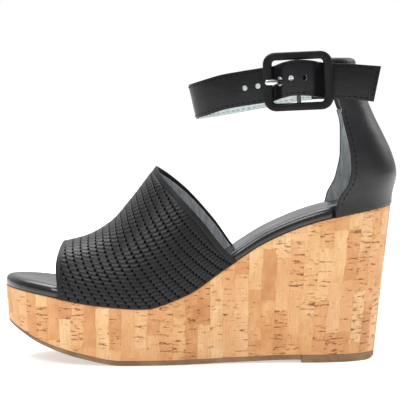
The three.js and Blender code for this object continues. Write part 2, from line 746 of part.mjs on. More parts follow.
function roundedRectangle(target, width, height, corner) {
  const x = width / 2;
  const z = height / 2;
  target.moveTo(-x + corner, -z);
  target.lineTo(x - corner, -z);
  target.absarc(x - corner, -z + corner, corner, -Math.PI / 2, 0);
  target.absarc(x - corner, z - corner, corner, 0, Math.PI / 2);
  target.absarc(-x + corner, z - corner, corner, Math.PI / 2, Math.PI);
  target.absarc(-x + corner, -z + corner, corner, Math.PI, Math.PI * 1.5);
  return target;
}

/** A rectangular ring in the buckle's own plane, its front towards local +Z. */
function ring(width, height, corner, side, top, innerCorner, depth) {
  const shape = roundedRectangle(new THREE.Shape(), width, height, corner);
  const window = roundedRectangle(new THREE.Path(), width - 2 * side, height - 2 * top, innerCorner);
  shape.holes.push(window);
  const made = new THREE.ExtrudeGeometry(shape, { depth, bevelEnabled: false, curveSegments: 6 });
  return made.translate(0, 0, -depth / 2);
}

function coreRing(grow, depth) {
  const { width, height } = BUCKLE;
  const inset = (BUCKLE_BAR.side - CORE_BAR.width) / 2;
  const insetTop = (BUCKLE_BAR.top - CORE_BAR.width) / 2;
  const bar = CORE_BAR.width + 2 * grow;
  return ring(width - 2 * inset + 2 * grow, height - 2 * insetTop + 2 * grow, CORE_BAR.corner, bar,
    bar, CORE_BAR.windowCorner, depth);
}

function centreBar(radius) {
  const length = BUCKLE.height - BUCKLE_BAR.top;
  return new THREE.CylinderGeometry(radius, radius, length, 12);
}

/** Places a shape made in the buckle's own plane beside the ankle. */
function besideAnkle(geometry) {
  return geometry.rotateX(Math.PI / 2).rotateY(-BUCKLE.tilt).translate(BUCKLE.x, BUCKLE.y, BUCKLE.z);
}

function makeBuckleFrame() {
  return besideAnkle(joined(coreRing(0, CORE_BAR.depth), [centreBar(CENTRE_BAR_RADIUS)]));
}

function makeBuckleCover() {
  const { width, height } = BUCKLE;
  const { side, top, depth, corner, windowCorner } = BUCKLE_BAR;
  const cover = ring(width, height, corner, side, top, windowCorner, depth);
  const grooveDepth = depth / 2 + CORE_BAR.depth / 2 + GAP;
  const groove = coreRing(GAP, grooveDepth).translate(0, 0, -depth / 2 + grooveDepth / 2 - 0.01);
  return besideAnkle(without(cover, [groove, centreBar(CENTRE_BAR_RADIUS + GAP)]));
}

function makeProng() {
  const { width, halfThickness, eyeInside, eyeOutside } = PRONG;
  const path = new THREE.CatmullRomCurve3(PRONG_LINE.map(([x, z]) => new THREE.Vector3(x, 0, z)));
  const row = (away) => (u) => {
    const middle = path.getPoint(u);
    const along = path.getTangent(u);
    const narrowing = u > PRONG_TIP.from ? PRONG_TIP.scale : 1;
    const out = new THREE.Vector3(along.z, 0, -along.x).multiplyScalar(away * narrowing);
    return [-0.5, -0.3, 0.3, 0.5].map((share, k) => {
      const rounded = k === 0 || k === 3 ? PRONG_ROUND : 1;
      const y = share * width * narrowing;
      return middle.clone().addScaledVector(out, rounded).add(new THREE.Vector3(0, y, 0));
    });
  };
  const arm = solidBetween(steps(14).map(row(halfThickness)), steps(14).map(row(-halfThickness)));
  const section = [[eyeInside, -width / 2], [eyeOutside, -width / 2], [eyeOutside, width / 2],
    [eyeInside, width / 2], [eyeInside, -width / 2]];
  const eye = new THREE.LatheGeometry(section.map(([r, z]) => new THREE.Vector2(r, z)), 16);
  return besideAnkle(joined(eye, [arm]));
}

/** The tab's route in plan: along the strap's outer face, round the bar, back along its inner face. */
function chapeRoute() {
  const { radius } = CHAPE;
  const round = steps(6).map((share) => {
    const angle = mix(CHAPE_WRAP[0], CHAPE_WRAP[1], share) * Math.PI;
    return [BUCKLE.x + radius * Math.cos(angle), BUCKLE.y + radius * Math.sin(angle)];
  });
  const points = [...CHAPE_OUTER_LEG, ...round, ...CHAPE_INNER_LEG];
  const spots = points.map(([x, y]) => new THREE.Vector3(x, y, 0));
  return new THREE.CatmullRomCurve3(spots, false, 'centripetal');
}

function makeChape() {
  const path = chapeRoute();
  const row = (away) => (u) => {
    const middle = path.getPoint(u);
    const along = path.getTangent(u);
    const out = new THREE.Vector3(-along.y, along.x, 0).normalize();
    return [-0.5, 0.5].map((edge) => {
      const x = middle.x - BUCKLE.tilt * edge * CHAPE.height;
      return new THREE.Vector3(x, middle.y, BUCKLE.z + edge * CHAPE.height).addScaledVector(out, away);
    });
  };
  const face = (away) => steps(CHAPE.places).map(row(away));
  const tab = solidBetween(face(CHAPE.halfThickness), face(-CHAPE.halfThickness));
  const { length, depth, height } = CHAPE_SLOT;
  const slot = new THREE.BoxGeometry(length, depth, height);
  slot.translate(BUCKLE.x + CHAPE_SLOT.x, BUCKLE.y + CHAPE_SLOT.y, BUCKLE.z);
  return without(tab, [slot]);
}

// ---------- assembly ----------

const LEATHER = { color: 0x2c2c30, roughness: 0.42, metalness: 0 };
const WOVEN = { color: 0x3a3a3d, roughness: 0.5, metalness: 0 };
const LINING = { color: 0x6d6f72, roughness: 0.8, metalness: 0 };
const PALE_LINING = { color: 0xc9d2d2, roughness: 0.75, metalness: 0 };
const CORK = { color: 0xd9ae74, roughness: 0.8, metalness: 0 };
const RUBBER = { color: 0x8f6d4c, roughness: 0.7, metalness: 0 };
const BOARD_LOOK = { color: 0xb59b74, roughness: 0.9, metalness: 0 };
const FOAM_LOOK = { color: 0xe6dfc8, roughness: 0.95, metalness: 0 };
const STEEL = { color: 0xc9ccd0, roughness: 0.25, metalness: 1 };

const sandal = new THREE.Group();

function add(name, geometry, look) {
  const mesh = new THREE.Mesh(geometry, new THREE.MeshStandardMaterial(look));
  mesh.name = name;
  sandal.add(mesh);
}

const holes = strapHoles();

add('outsole', makeOutsole(), RUBBER);
add('heel_top_piece', makeHeelTopPiece(), RUBBER);
add('wedge_core', makeWedgeCore(), BOARD_LOOK);
add('cork_wrap', makeCorkWrap(), CORK);
add('bottom_filler', layer(() => MARGIN_WIDTH + 4, GAP, MARGIN_TOP), BOARD_LOOK);
add('insole_board', makeInsoleBoard(), BOARD_LOOK);
add('steel_shank', makeShank(), STEEL);
add('shank_rivet_front', makeRivet(RIVET.frontX), STEEL);
add('shank_rivet_rear', makeRivet(RIVET.rearX), STEEL);
add('footbed_foam', layer(insideCover, FOAM.bottom, FOAM.top), FOAM_LOOK);
add('footbed_cover', makeFootbedCover(), LEATHER);
add('vamp_outer', makeVampOuter(), WOVEN);
add('vamp_lining', makeVampLining(), LINING);
add('counter_outer', makeCounterOuter(), LEATHER);
add('counter_stiffener', counterLayer(STIFFENER.outer, STIFFENER.inner, STIFFENER.top), BOARD_LOOK);
add('counter_lining', counterLayer(COUNTER_LINING.outer, COUNTER_LINING.inner, COUNTER_LINING.top), LINING);
add('ankle_strap_outer', without(strapBand(STRAP.outer, STRAP.outerInside), holes), LEATHER);
add('ankle_strap_lining', without(strapBand(STRAP.liningOutside, STRAP.inner), holes), PALE_LINING);
add('buckle_chape', makeChape(), LEATHER);
add('buckle_frame', makeBuckleFrame(), STEEL);
add('buckle_cover', makeBuckleCover(), LEATHER);
add('buckle_prong', makeProng(), STEEL);

const box = new THREE.Box3().setFromObject(sandal);
const centre = box.getCenter(new THREE.Vector3());
sandal.position.set(-centre.x, -centre.y, -box.min.z);

export default sandal;
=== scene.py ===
import json
import math

import bmesh
import bpy
import numpy as np
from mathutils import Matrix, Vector


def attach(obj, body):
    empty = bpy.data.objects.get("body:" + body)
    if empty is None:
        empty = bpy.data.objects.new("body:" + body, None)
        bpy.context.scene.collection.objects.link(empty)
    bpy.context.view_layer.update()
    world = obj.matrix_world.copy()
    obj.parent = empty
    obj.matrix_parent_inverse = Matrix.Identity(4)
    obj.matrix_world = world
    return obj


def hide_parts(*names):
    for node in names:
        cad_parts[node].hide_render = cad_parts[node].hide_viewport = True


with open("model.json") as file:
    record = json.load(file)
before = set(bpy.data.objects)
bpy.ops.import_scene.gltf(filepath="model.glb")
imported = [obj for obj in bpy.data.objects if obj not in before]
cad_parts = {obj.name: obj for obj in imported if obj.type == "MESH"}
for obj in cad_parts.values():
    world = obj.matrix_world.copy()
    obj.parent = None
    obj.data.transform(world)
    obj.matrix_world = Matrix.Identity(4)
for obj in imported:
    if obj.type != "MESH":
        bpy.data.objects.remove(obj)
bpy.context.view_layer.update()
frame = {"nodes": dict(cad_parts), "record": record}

MM = 0.001

# ---------- design sizes, millimetres, before the move into the row frame ----------
LATERAL, MEDIAL = -1, 1
TOE_TIP_X, HEEL_TIP_X = -118.6, 115.8
TIP_Y = (6.0, 0.5)
SIDE_PLAN = {
    LATERAL: [(-112, 13), (-97, 27.5), (-74, 37.5), (-45, 41.5), (-15, 38.5), (20, 30.5), (50, 27),
              (80, 26.6), (99, 22), (110.5, 13)],
    MEDIAL: [(-113, 21), (-99, 32.5), (-77, 38), (-50, 39), (-20, 32), (15, 25), (45, 23.5),
             (78, 25.6), (98, 22), (110.5, 13)],
}
WEDGE_TOP = [(-120, 44.4), (-97, 41.3), (-62, 36), (-34, 34), (-8, 41.8), (14, 56.2), (41.5, 73.4),
             (70, 84.4), (90, 88.9), (120, 94.4)]
WEDGE_BOTTOM = [(-120, 26.2), (-109, 20.2), (-96, 14), (-70, 6.8), (-46, 3), (-24, 3), (20, 3.8),
                (60, 4.8), (120, 4.8)]
HEEL_LEAN, TOE_LEAN, SIDE_TAPER = 9.6, 1.6, 0.06
OUTSOLE_END_X, OUTSOLE_THICKNESS = 60.5, (1.4, 2.7)
TOP_PIECE_BEVEL = 2.2
FOOTBED_TOP = 7.5
VAMP_CREST = [(-90, 69.6), (-83, 70.9), (-69.4, 74.4), (-54.3, 83.1), (-41.8, 97.2), (-27, 116.3),
              (0, 147), (30, 168)]
VAMP_FRONT_X, VAMP_FRONT_SWEEP, RIDGE_SHIFT = -86.6, 3.4, 4
TOPLINE = {
    LATERAL: [(56, 26.5), (62.5, 21.1), (70, 13.6), (84.7, 2.1), (98.3, -10.3), (113.4, -24.6), (117, -27.2)],
    MEDIAL: [(56, 29), (62, 24.5), (67, 20), (80.5, 10.4), (92, 0.8), (102, -8.7), (110, -18),
             (117, -27.2)],
}
COUNTER_BACK = [(84, 113.6), (94.7, 115.9), (101.7, 118.4), (109.6, 119.3), (116.1, 118.6), (124.5, 116.2),
                (135.6, 111.1), (146.3, 105.7), (156.5, 101.2), (168, 97), (182.2, 92.9)]
COUNTER_WIDTH = [(84, 27), (100, 28.4), (115, 29.4), (135, 27.8), (150, 26.8), (160, 27), (182.2, 27)]
COUNTER_EDGE = {
    LATERAL: [(82, 78.4), (94.4, 83.2), (108.9, 89), (116, 90.2), (124, 89.8), (144.2, 85.6),
              (156, 82.6), (166, 78.8), (182.2, 77)],
    MEDIAL: [(82, 75), (94.6, 78.9), (111.5, 85), (124, 87.2), (140, 87), (156, 82.8), (166, 79),
             (182.2, 77)],
}
COUNTER_TOP, COUNTER_BLEND = 182.2, 22
STRAP_WIDTH, STRAP_IN_TUNNEL, TAIL_SLANT = 21, 3.6, 4.2
BUCKLE = np.array([57.8, -33.6, 168.4])
BUCKLE_TILT = 0.045
BUCKLE_SIZE = (41.0, 34.6)
SIDE_BAR, TOP_BAR, COVER_DEPTH = 5.4, 4.7, 4.4
CENTRE_BAR_RADIUS, CENTRE_BAR_REACH = 1.2, 15.0
HOLE_RADIUS, HOLE_PITCH, HOLE_COUNT = 1.6, 8.0, 6
USED_HOLE, USED_HOLE_X = 3, 47.6          # counted from 0 towards the free end, and its place
USED_HOLE_REACH = (3.6, 2.9)              # half length and half height, stretched so the prong clears
CHAPE_HEIGHT, CHAPE_WRAP_RADIUS = 17, 2.1
CHAPE_SLOT_HALF, CHAPE_SLOT_SHIFT = (4.5, 4, 2.1), (-1.2, -1, 0)


def row_offset():
    """The move from design places to the row frame, read off the buckle's pivot."""
    joint = next(j for j in frame["record"]["behaviour"]["joints"] if j["name"] == "buckle_swing")
    return np.array(joint["pos_m"]) / MM - BUCKLE


OFFSET = row_offset()


# ---------- curves ----------
def curve_through(points):
    """A smooth function through (input, output) points that never overshoots them."""
    xs, ys = (np.array(v, float) for v in zip(*points))
    chord = np.diff(ys) / np.diff(xs)
    slope = np.concatenate([chord[:1], np.zeros(len(xs) - 2), chord[-1:]])
    before, after = chord[:-1], chord[1:]
    same = before * after > 0
    slope[1:-1][same] = (2 * before * after / np.where(same, before + after, 1))[same]

    def at(value):
        value = np.asarray(value, float)
        i = np.clip(np.searchsorted(xs, value, side="left") - 1, 0, len(xs) - 2)
        step = xs[i + 1] - xs[i]
        t = np.clip((value - xs[i]) / step, 0, 1)
        rise = (2 * t**3 - 3 * t**2 + 1) * ys[i] + (3 * t**2 - 2 * t**3) * ys[i + 1]
        bend = (t**3 - 2 * t**2 + t) * slope[i] + (t**3 - t**2) * slope[i + 1]
        return rise + bend * step

    return at


def spline(points, closed=False):
    """A centripetal Catmull-Rom curve, as a function of its share from 0 to 1."""
    p = np.array(points, float)
    count = len(p) if closed else len(p) - 1
    if closed:
        padded = np.vstack([p[-1:], p, p[:2]])
    else:
        padded = np.vstack([2 * p[:1] - p[1:2], p, 2 * p[-1:] - p[-2:-1]])

    def at(share):
        place = np.asarray(share, float) * count
        place = place % count if closed else np.clip(place, 0, count)
        i = np.minimum(np.floor(place).astype(int), count - 1)
        t = (place - i)[..., None]
        a, b, c, d = (padded[i + k] for k in range(4))
        gaps = [np.linalg.norm(n - m, axis=-1, keepdims=True) ** 0.5 for m, n in ((a, b), (b, c), (c, d))]
        g0, g1, g2 = (np.maximum(g, 1e-6) for g in gaps)
        t1 = ((b - a) / g0 - (c - a) / (g0 + g1) + (c - b) / g1) * g1
        t2 = ((c - b) / g1 - (d - b) / (g1 + g2) + (d - c) / g2) * g1
        return b + t1 * t + (3 * (c - b) - 2 * t1 - t2) * t**2 + (2 * (b - c) + t1 + t2) * t**3

    return at


def ramp(value, low, high):
    t = np.clip((np.asarray(value, float) - low) / (high - low), 0, 1)
    return t * t * (3 - 2 * t)


def mix(a, b, share):
    return a + (b - a) * share


def unit(vectors):
    return vectors / np.maximum(np.linalg.norm(vectors, axis=-1, keepdims=True), 1e-9)


def circle(count):
    """Angles of evenly spread places round a full turn."""
    return np.linspace(0, 2 * np.pi, count + 1)[:-1]


wedge_top = curve_through(WEDGE_TOP)
wedge_bottom = curve_through(WEDGE_BOTTOM)
crest = curve_through(VAMP_CREST)
counter_back = curve_through(COUNTER_BACK)
counter_width = curve_through(COUNTER_WIDTH)
topline = {side: curve_through(TOPLINE[side]) for side in TOPLINE}
counter_edge = {side: curve_through(COUNTER_EDGE[side]) for side in COUNTER_EDGE}


# ---------- the sole's plan ----------
def side_loop(side):
    own = [(x, side * w) for x, w in SIDE_PLAN[side]]
    other = [(x, -side * w) for x, w in SIDE_PLAN[-side]][::-1]
    return spline([(TOE_TIP_X, TIP_Y[0]), *own, (HEEL_TIP_X, TIP_Y[1]), *other], closed=True)


LOOPS = {side: side_loop(side) for side in (LATERAL, MEDIAL)}


def rim(side, t, inset=0.0):
    """Points a share t of the way along one side of the sole, moved inwards. Returns (..., 2)."""
    u = np.asarray(t, float) / 2
    curve = LOOPS[side]
    along = unit(curve(u + 1e-4) - curve(u - 1e-4 + 1))
    inward = np.stack([side * along[..., 1], -side * along[..., 0]], -1)
    return curve(u) + inward * np.asarray(inset)[..., None]


EDGE_SHARES = np.linspace(0, 1, 1500)


def edge_y(side, x, inset=0.0):
    """The sole's y at x on one side."""
    line = rim(side, EDGE_SHARES, inset)
    return np.interp(x, line[:, 0], line[:, 1])


def at_ground(xy):
    """Where points of the sole's plan lie at the bottom of the wedge."""
    x, y = xy[..., 0], xy[..., 1]
    moved = x - HEEL_LEAN * ramp(x, 10, HEEL_TIP_X) + TOE_LEAN * ramp(-x, 70, -TOE_TIP_X)
    return np.stack([moved, y * (1 - SIDE_TAPER)], -1)


def with_z(xy, z):
    return np.concatenate([xy, np.broadcast_to(z, xy.shape[:-1])[..., None]], -1)


# ---------- mesh helpers ----------
def distances(grid, axis):
    """How far each point lies along its row or column, in millimetres."""
    steps = np.linalg.norm(np.diff(grid, axis=axis), axis=-1)
    start = np.zeros_like(np.take(steps, [0], axis=axis))
    return np.concatenate([start, np.cumsum(steps, axis=axis)], axis=axis)


def new_mesh(name, points, faces):
    """A mesh from points in design millimetres."""
    mesh = bpy.data.meshes.new(name)
    mesh.from_pydata(((points + OFFSET) * MM).tolist(), [], faces)
    return mesh


def add_object(name, data):
    obj = bpy.data.objects.new(name, data)
    bpy.context.scene.collection.objects.link(obj)
    return obj


def grid_object(name, grid, wrap=(False, False), spot=None, caps=False, weld=False):
    """A mesh over an (n, m, 3) grid in millimetres. spot is an (n, m, 2) pattern place for materials."""
    n, m = grid.shape[:2]
    if spot is None:
        spot = np.stack([distances(grid, 0), distances(grid, 1)], -1)
    index = np.arange(n * m).reshape(n, m)
    rows = np.vstack([index, index[:1]]) if wrap[0] else index
    cells = np.hstack([rows, rows[:, :1]]) if wrap[1] else rows
    quads = np.stack([cells[:-1, :-1], cells[1:, :-1], cells[1:, 1:], cells[:-1, 1:]], -1).reshape(-1, 4)
    faces = quads.tolist()
    if caps:
        faces += [index[0].tolist(), index[-1][::-1].tolist()]
    mesh = new_mesh(name, grid.reshape(-1, 3), faces)
    places = mesh.attributes.new("spot", "FLOAT_VECTOR", "POINT")
    flat = np.concatenate([spot.reshape(-1, 2), np.zeros((n * m, 1))], -1)
    places.data.foreach_set("vector", flat.astype(np.float32).ravel())
    obj = add_object(name, mesh)
    tidy(mesh, weld)
    return obj


def tidy(mesh, weld):
    """Smooth shading, outward faces and, where tips run together, welded points."""
    work = bmesh.new()
    work.from_mesh(mesh)
    if weld:
        bmesh.ops.remove_doubles(work, verts=work.verts, dist=2e-6)
    bmesh.ops.recalc_face_normals(work, faces=work.faces)
    for face in work.faces:
        face.smooth = True
    work.to_mesh(mesh)
    work.free()


def thicken(obj, thickness, side=-1, bevel=0.3):
    """Gives a sheet its thickness, away from (-1) or along (1) its faces, with softened edges."""
    solid = obj.modifiers.new("thickness", "SOLIDIFY")
    solid.thickness = thickness * MM
    solid.offset = side
    solid.use_even_offset = False
    edge = obj.modifiers.new("edge", "BEVEL")
    edge.width = bevel * MM
    edge.segments = 2
    edge.limit_method = "ANGLE"
    edge.angle_limit = math.radians(62)
    apply_modifiers(obj)


def apply_modifiers(obj):
    bpy.context.view_layer.update()
    graph = bpy.context.evaluated_depsgraph_get()
    made = bpy.data.meshes.new_from_object(obj.evaluated_get(graph))
    obj.modifiers.clear()
    obj.data = made
    for polygon in made.polygons:
        polygon.use_smooth = True


def sharpen(obj, degrees=40):
    """Keeps edges over an angle crisp in a smooth-shaded mesh."""
    work = bmesh.new()
    work.from_mesh(obj.data)
    for edge in work.edges:
        if len(edge.link_faces) == 2 and edge.calc_face_angle(0) > math.radians(degrees):
            edge.smooth = False
    work.to_mesh(obj.data)
    work.free()


def finish_piece(obj, body, material, slot, *nodes):
    obj.data.materials.clear()
    obj.data.materials.append(material)
    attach(obj, body)
    if nodes:
        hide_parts(*nodes)


def rounded_profile(width, height, radius, per_corner=4):
    """A closed rounded rectangle about its middle, as (n, 2) points."""
    corners = [(1, 1), (-1, 1), (-1, -1), (1, -1)]
    points = []
    for k, (sx, sy) in enumerate(corners):
        for angle in np.linspace(k * 90, k * 90 + 90, per_corner + 1):
            a = math.radians(angle)
            centre = (sx * (width / 2 - radius), sy * (height / 2 - radius))
            points.append((centre[0] + radius * math.cos(a), centre[1] + radius * math.sin(a)))
    return np.array(points)


def sweep(middle, side, up, profile):
    """Sections (n, m, 3) of a closed profile carried along a route with the given frames."""
    return middle[:, None] + side[:, None] * profile[None, :, :1] + up[:, None] * profile[None, :, 1:]


# ---------- materials ----------
class Look:
    """A Principled material with a few helpers for its nodes."""

    def __init__(self, name, color, roughness, metallic=0.0, **sockets):
        self.material = bpy.data.materials.new(name)
        self.material.use_nodes = True
        self.tree = self.material.node_tree
        self.shader = self.tree.nodes["Principled BSDF"]
        self.shader.inputs["Base Color"].default_value = (*color, 1)
        self.shader.inputs["Roughness"].default_value = roughness
        self.shader.inputs["Metallic"].default_value = metallic
        for socket, value in sockets.items():
            self.shader.inputs[socket.replace("_", " ")].default_value = value

    def node(self, kind, inputs=None, **settings):
        made = self.tree.nodes.new("ShaderNode" + kind)
        for key, value in settings.items():
            setattr(made, key, value)
        for key, value in (inputs or {}).items():
            self.put(made.inputs[key], value)
        return made

    def put(self, socket, value):
        if isinstance(value, bpy.types.NodeSocket):
            self.tree.links.new(value, socket)
        else:
            socket.default_value = value

    def place(self, scale=(1, 1, 1)):
        """The place on the object in millimetres, scaled."""
        source = self.node("TexCoord").outputs["Object"]
        size = tuple(s / MM for s in scale)
        return self.node("Mapping", {"Vector": source, "Scale": size}).outputs["Vector"]

    def noise(self, vector, scale=1.0, detail=3.0, roughness=0.5):
        inputs = {"Vector": vector, "Scale": scale, "Detail": detail, "Roughness": roughness}
        return self.node("TexNoise", inputs).outputs["Fac"]

    def math(self, operation, a, b=0.0):
        return self.node("Math", {0: a, 1: b}, operation=operation).outputs[0]

    def times(self, a, b):
        return self.math("MULTIPLY", a, b)

    def plus(self, a, b):
        return self.math("ADD", a, b)

    def remap(self, value, low, high, to_low=0.0, to_high=1.0):
        inputs = {"Value": value, "From Min": low, "From Max": high, "To Min": to_low, "To Max": to_high}
        return self.node("MapRange", inputs, clamp=True).outputs[0]

    def blend(self, share, a, b):
        made = self.node("Mix", data_type="RGBA")
        self.put(made.inputs["Factor"], share)
        self.put(made.inputs["A"], a if isinstance(a, bpy.types.NodeSocket) else (*a, 1))
        self.put(made.inputs["B"], b if isinstance(b, bpy.types.NodeSocket) else (*b, 1))
        return made.outputs["Result"]

    def color(self, value):
        self.put(self.shader.inputs["Base Color"], value)

    def roughness(self, value):
        self.put(self.shader.inputs["Roughness"], value)

    def bump(self, height, distance=0.1, strength=1.0):
        """Raises the surface by height, distance in millimetres at a height of 1."""
        inputs = {"Height": height, "Distance": distance * MM, "Strength": strength}
        if self.shader.inputs["Normal"].is_linked:
            inputs["Normal"] = self.shader.inputs["Normal"].links[0].from_socket
        self.put(self.shader.inputs["Normal"], self.node("Bump", inputs).outputs["Normal"])


def leather(name, color, roughness=0.42, grain=0.05, gloss=0.5, crease=0.16):
    """Black leather: fine pebble grain, soft creases, rubbed patches that shine a little more."""
    look = Look(name, color, roughness, Specular_IOR_Level=gloss)
    place = look.place()
    cells = look.node("TexVoronoi", {"Vector": place, "Scale": 1.5}, feature="SMOOTH_F1").outputs["Distance"]
    fine = look.noise(place, 4.0, 2.0)
    creases = look.noise(look.place((0.25, 0.25, 0.9)), 0.35, 5.0, 0.62)
    rubbed = look.noise(place, 0.05, 4.0)
    look.bump(creases, crease)
    look.bump(look.plus(cells, look.times(fine, 0.4)), grain)
    lighter = tuple(min(1, c * 1.9 + 0.004) for c in color)
    look.color(look.blend(look.remap(rubbed, 0.4, 0.75), color, lighter))
    look.roughness(look.remap(rubbed, 0.3, 0.8, roughness + 0.07, roughness - 0.09))
    return look.material


def woven_leather():
    """Embossed leather: painted shade darkens the pits and seams to near black, so the raised bricks, in the
    leather's own randomly varying tone, stand lighter; the pits are also rougher and less shiny.
    """
    look = Look("woven_leather", (0.020, 0.020, 0.022), 0.42, Specular_IOR_Level=0.5)
    height = look.node("Attribute", attribute_name="relief").outputs["Fac"]
    place = look.place()
    grain = look.noise(place, 3.2, 3.0)
    tone = look.noise(place, 0.06, 3.0)
    raised = look.blend(look.remap(tone, 0.3, 0.7), (0.004, 0.004, 0.005), (0.009, 0.009, 0.011))
    # painted shade: low places in the relief (pits and seams) are coloured near black, the raised bricks keep the
    # leather's own tone
    look.color(look.blend(look.remap(height, 0.1, 0.7), (0.001, 0.001, 0.001), raised))
    look.roughness(look.remap(height, 0.1, 0.8, 0.95, 0.36))
    shine = look.remap(height, 0.05, 0.6, 0.02, 0.40)
    look.put(look.shader.inputs["Specular IOR Level"], shine)
    look.bump(grain, 0.05)
    return look.material


def lining(name, color, streak, roughness=0.75):
    """Brushed lining leather with long faint streaks and a short nap."""
    look = Look(name, color, roughness, Sheen_Weight=0.25, Sheen_Roughness=0.5)
    streaks = look.noise(look.place((0.9, 0.9, 0.06)), 0.9, 4.0, 0.6)
    nap = look.noise(look.place(), 3.5, 3.0)
    look.color(look.blend(look.remap(streaks, 0.35, 0.68), color, streak))
    look.bump(look.plus(nap, look.times(streaks, 0.8)), 0.07)
    return look.material


CORK_TONES = [(0.30, (0.56, 0.24, 0.095)), (0.42, (0.68, 0.33, 0.135)), (0.55, (0.76, 0.42, 0.185)),
              (0.69, (0.83, 0.52, 0.26)), (0.84, (0.90, 0.65, 0.38))]
CORK_STRIP, CORK_PATCH = 7.6, 31.0       # a strip's width and a patch's height


def cork_patches(look, spot):
    """Places counted in strips and in patches, a random colour per patch and its own noise place."""
    split = look.node("SeparateXYZ", {"Vector": spot})
    along, up = split.outputs["X"], split.outputs["Y"]
    wobble = look.times(look.math("SUBTRACT", look.noise(spot, 0.09, 3.0), 0.5), 3.2)
    strip_place = look.math("DIVIDE", look.plus(along, wobble), CORK_STRIP)
    strip = look.math("FLOOR", strip_place)
    random = look.node("TexWhiteNoise", {"W": strip}, noise_dimensions="1D").outputs["Value"]
    patch_place = look.plus(look.math("DIVIDE", up, CORK_PATCH), look.times(random, 7.0))
    patch_place = look.plus(patch_place, look.times(look.noise(spot, 0.25, 3.0), 0.12))
    cell = look.node("CombineXYZ", {"X": strip, "Y": look.math("FLOOR", patch_place)}).outputs["Vector"]
    tone = look.node("TexWhiteNoise", {"Vector": cell})
    spread = {0: tone.outputs["Color"], 1: (400, 400, 400)}
    shift = look.node("VectorMath", spread, operation="MULTIPLY").outputs[0]
    own = look.node("VectorMath", {0: spot, 1: shift}, operation="ADD").outputs[0]
    return strip_place, patch_place, tone, own


def cork_ground(look, spot, tone, mottled):
    """The cork's colour before its marks, and the patch's random channels."""
    soft = look.noise(spot, 0.05, 3.0)
    parts = look.plus(look.times(tone.outputs["Value"], 0.36), look.times(soft, 0.34))
    tones = look.node("ValToRGB", {"Fac": look.plus(parts, look.times(mottled, 0.42))})
    elements = tones.color_ramp.elements
    while len(elements) < len(CORK_TONES):
        elements.new(0.5)
    for element, (position, color) in zip(elements, CORK_TONES):
        element.position = position
        element.color = (*color, 1)
    channels = look.node("SeparateXYZ", {"Vector": tone.outputs["Color"]}).outputs
    reddish = look.remap(channels["Z"], 0.5, 1.0, 0, 0.5)
    return look.blend(reddish, tones.outputs["Color"], (0.74, 0.36, 0.17)), channels


def cork():
    """Natural cork veneer in upright strips: soft tones, fine grain, dark lenticels, faint seams."""
    look = Look("cork", (0.66, 0.38, 0.17), 0.6, Specular_IOR_Level=0.3)
    spot = look.node("Attribute", attribute_name="spot").outputs["Vector"]
    strip_place, patch_place, tone, own = cork_patches(look, spot)

    def own_noise(scale, detail=3.0, roughness=0.55):
        vector = look.node("Mapping", {"Vector": own, "Scale": (*scale, 1)}).outputs["Vector"]
        return look.noise(vector, 1.0, detail, roughness)

    color, channels = cork_ground(look, spot, tone, own_noise((0.12, 0.07)))
    grain = own_noise((1.5, 0.13), 4.0, 0.62)
    color = look.blend(look.remap(grain, 0.48, 0.78, 0, 0.5), color, (0.50, 0.25, 0.10))
    pores = look.remap(own_noise((1.0, 0.8), 3.0, 0.7), 0.60, 0.72)
    color = look.blend(look.times(pores, 0.40), color, (0.38, 0.18, 0.075))
    dashes = look.plus(own_noise((0.13, 0.62), 4.0, 0.66), look.times(channels["Y"], 0.12))
    broken = look.remap(own_noise((0.5, 1.3), 3.0, 0.7), 0.44, 0.56)
    deep = look.times(look.remap(dashes, 0.68, 0.72), broken)
    color = look.blend(look.times(look.remap(dashes, 0.63, 0.69), 0.55), color, (0.50, 0.20, 0.07))
    color = look.blend(look.times(deep, 0.85), color, (0.20, 0.066, 0.020))
    side_gap = look.remap(look.math("PINGPONG", strip_place, 0.5), 0.026, 0.0)
    end_gap = look.remap(look.math("PINGPONG", patch_place, 0.5), 0.006, 0.0)
    seam = look.math("MAXIMUM", side_gap, look.times(end_gap, 0.7))
    look.color(look.blend(look.times(seam, 0.28), color, (0.36, 0.17, 0.07)))
    pits = look.plus(look.times(deep, -1.0), look.times(pores, -0.4))
    look.bump(look.plus(pits, look.times(grain, 0.4)), 0.25)
    look.bump(look.times(seam, -1.0), 0.05)
    look.roughness(look.remap(deep, 0, 1, 0.56, 0.9))
    return look.material


def rubber():
    """Moulded brown rubber with a stippled skin."""
    look = Look("brown_rubber", (0.26, 0.155, 0.085), 0.6, Specular_IOR_Level=0.4)
    place = look.place()
    stipple = look.noise(place, 2.4, 3.0)
    patches = look.noise(place, 0.09, 4.0)
    look.color(look.blend(look.remap(patches, 0.35, 0.7), (0.21, 0.12, 0.065), (0.33, 0.205, 0.115)))
    look.bump(stipple, 0.08)
    look.roughness(look.remap(patches, 0.3, 0.7, 0.55, 0.72))
    return look.material


def metal(name, color, roughness):
    """Plated metal with fine wipe marks."""
    look = Look(name, color, roughness, 1.0)
    marks = look.noise(look.place((0.4, 0.4, 6)), 2.0, 3.0)
    look.roughness(look.remap(marks, 0.3, 0.7, roughness * 0.7, roughness * 1.6))
    look.bump(marks, 0.01)
    return look.material


def plain_fibre(name, color, roughness=0.9):
    """Hidden board, felt or foam: speckled fibre."""
    look = Look(name, color, roughness)
    fibre = look.noise(look.place((1, 1, 3)), 1.2, 5.0, 0.7)
    darker = tuple(c * 0.7 for c in color)
    look.color(look.blend(look.remap(fibre, 0.35, 0.65), darker, color))
    look.bump(fibre, 0.15)
    return look.material


def thread(name, color):
    """Twisted sewing thread."""
    look = Look(name, color, 0.6, Specular_IOR_Level=0.15)
    twist = look.node("TexWave", {"Vector": look.place(), "Scale": 1.4}, bands_direction="DIAGONAL")
    look.bump(twist.outputs["Fac"], 0.06)
    return look.material


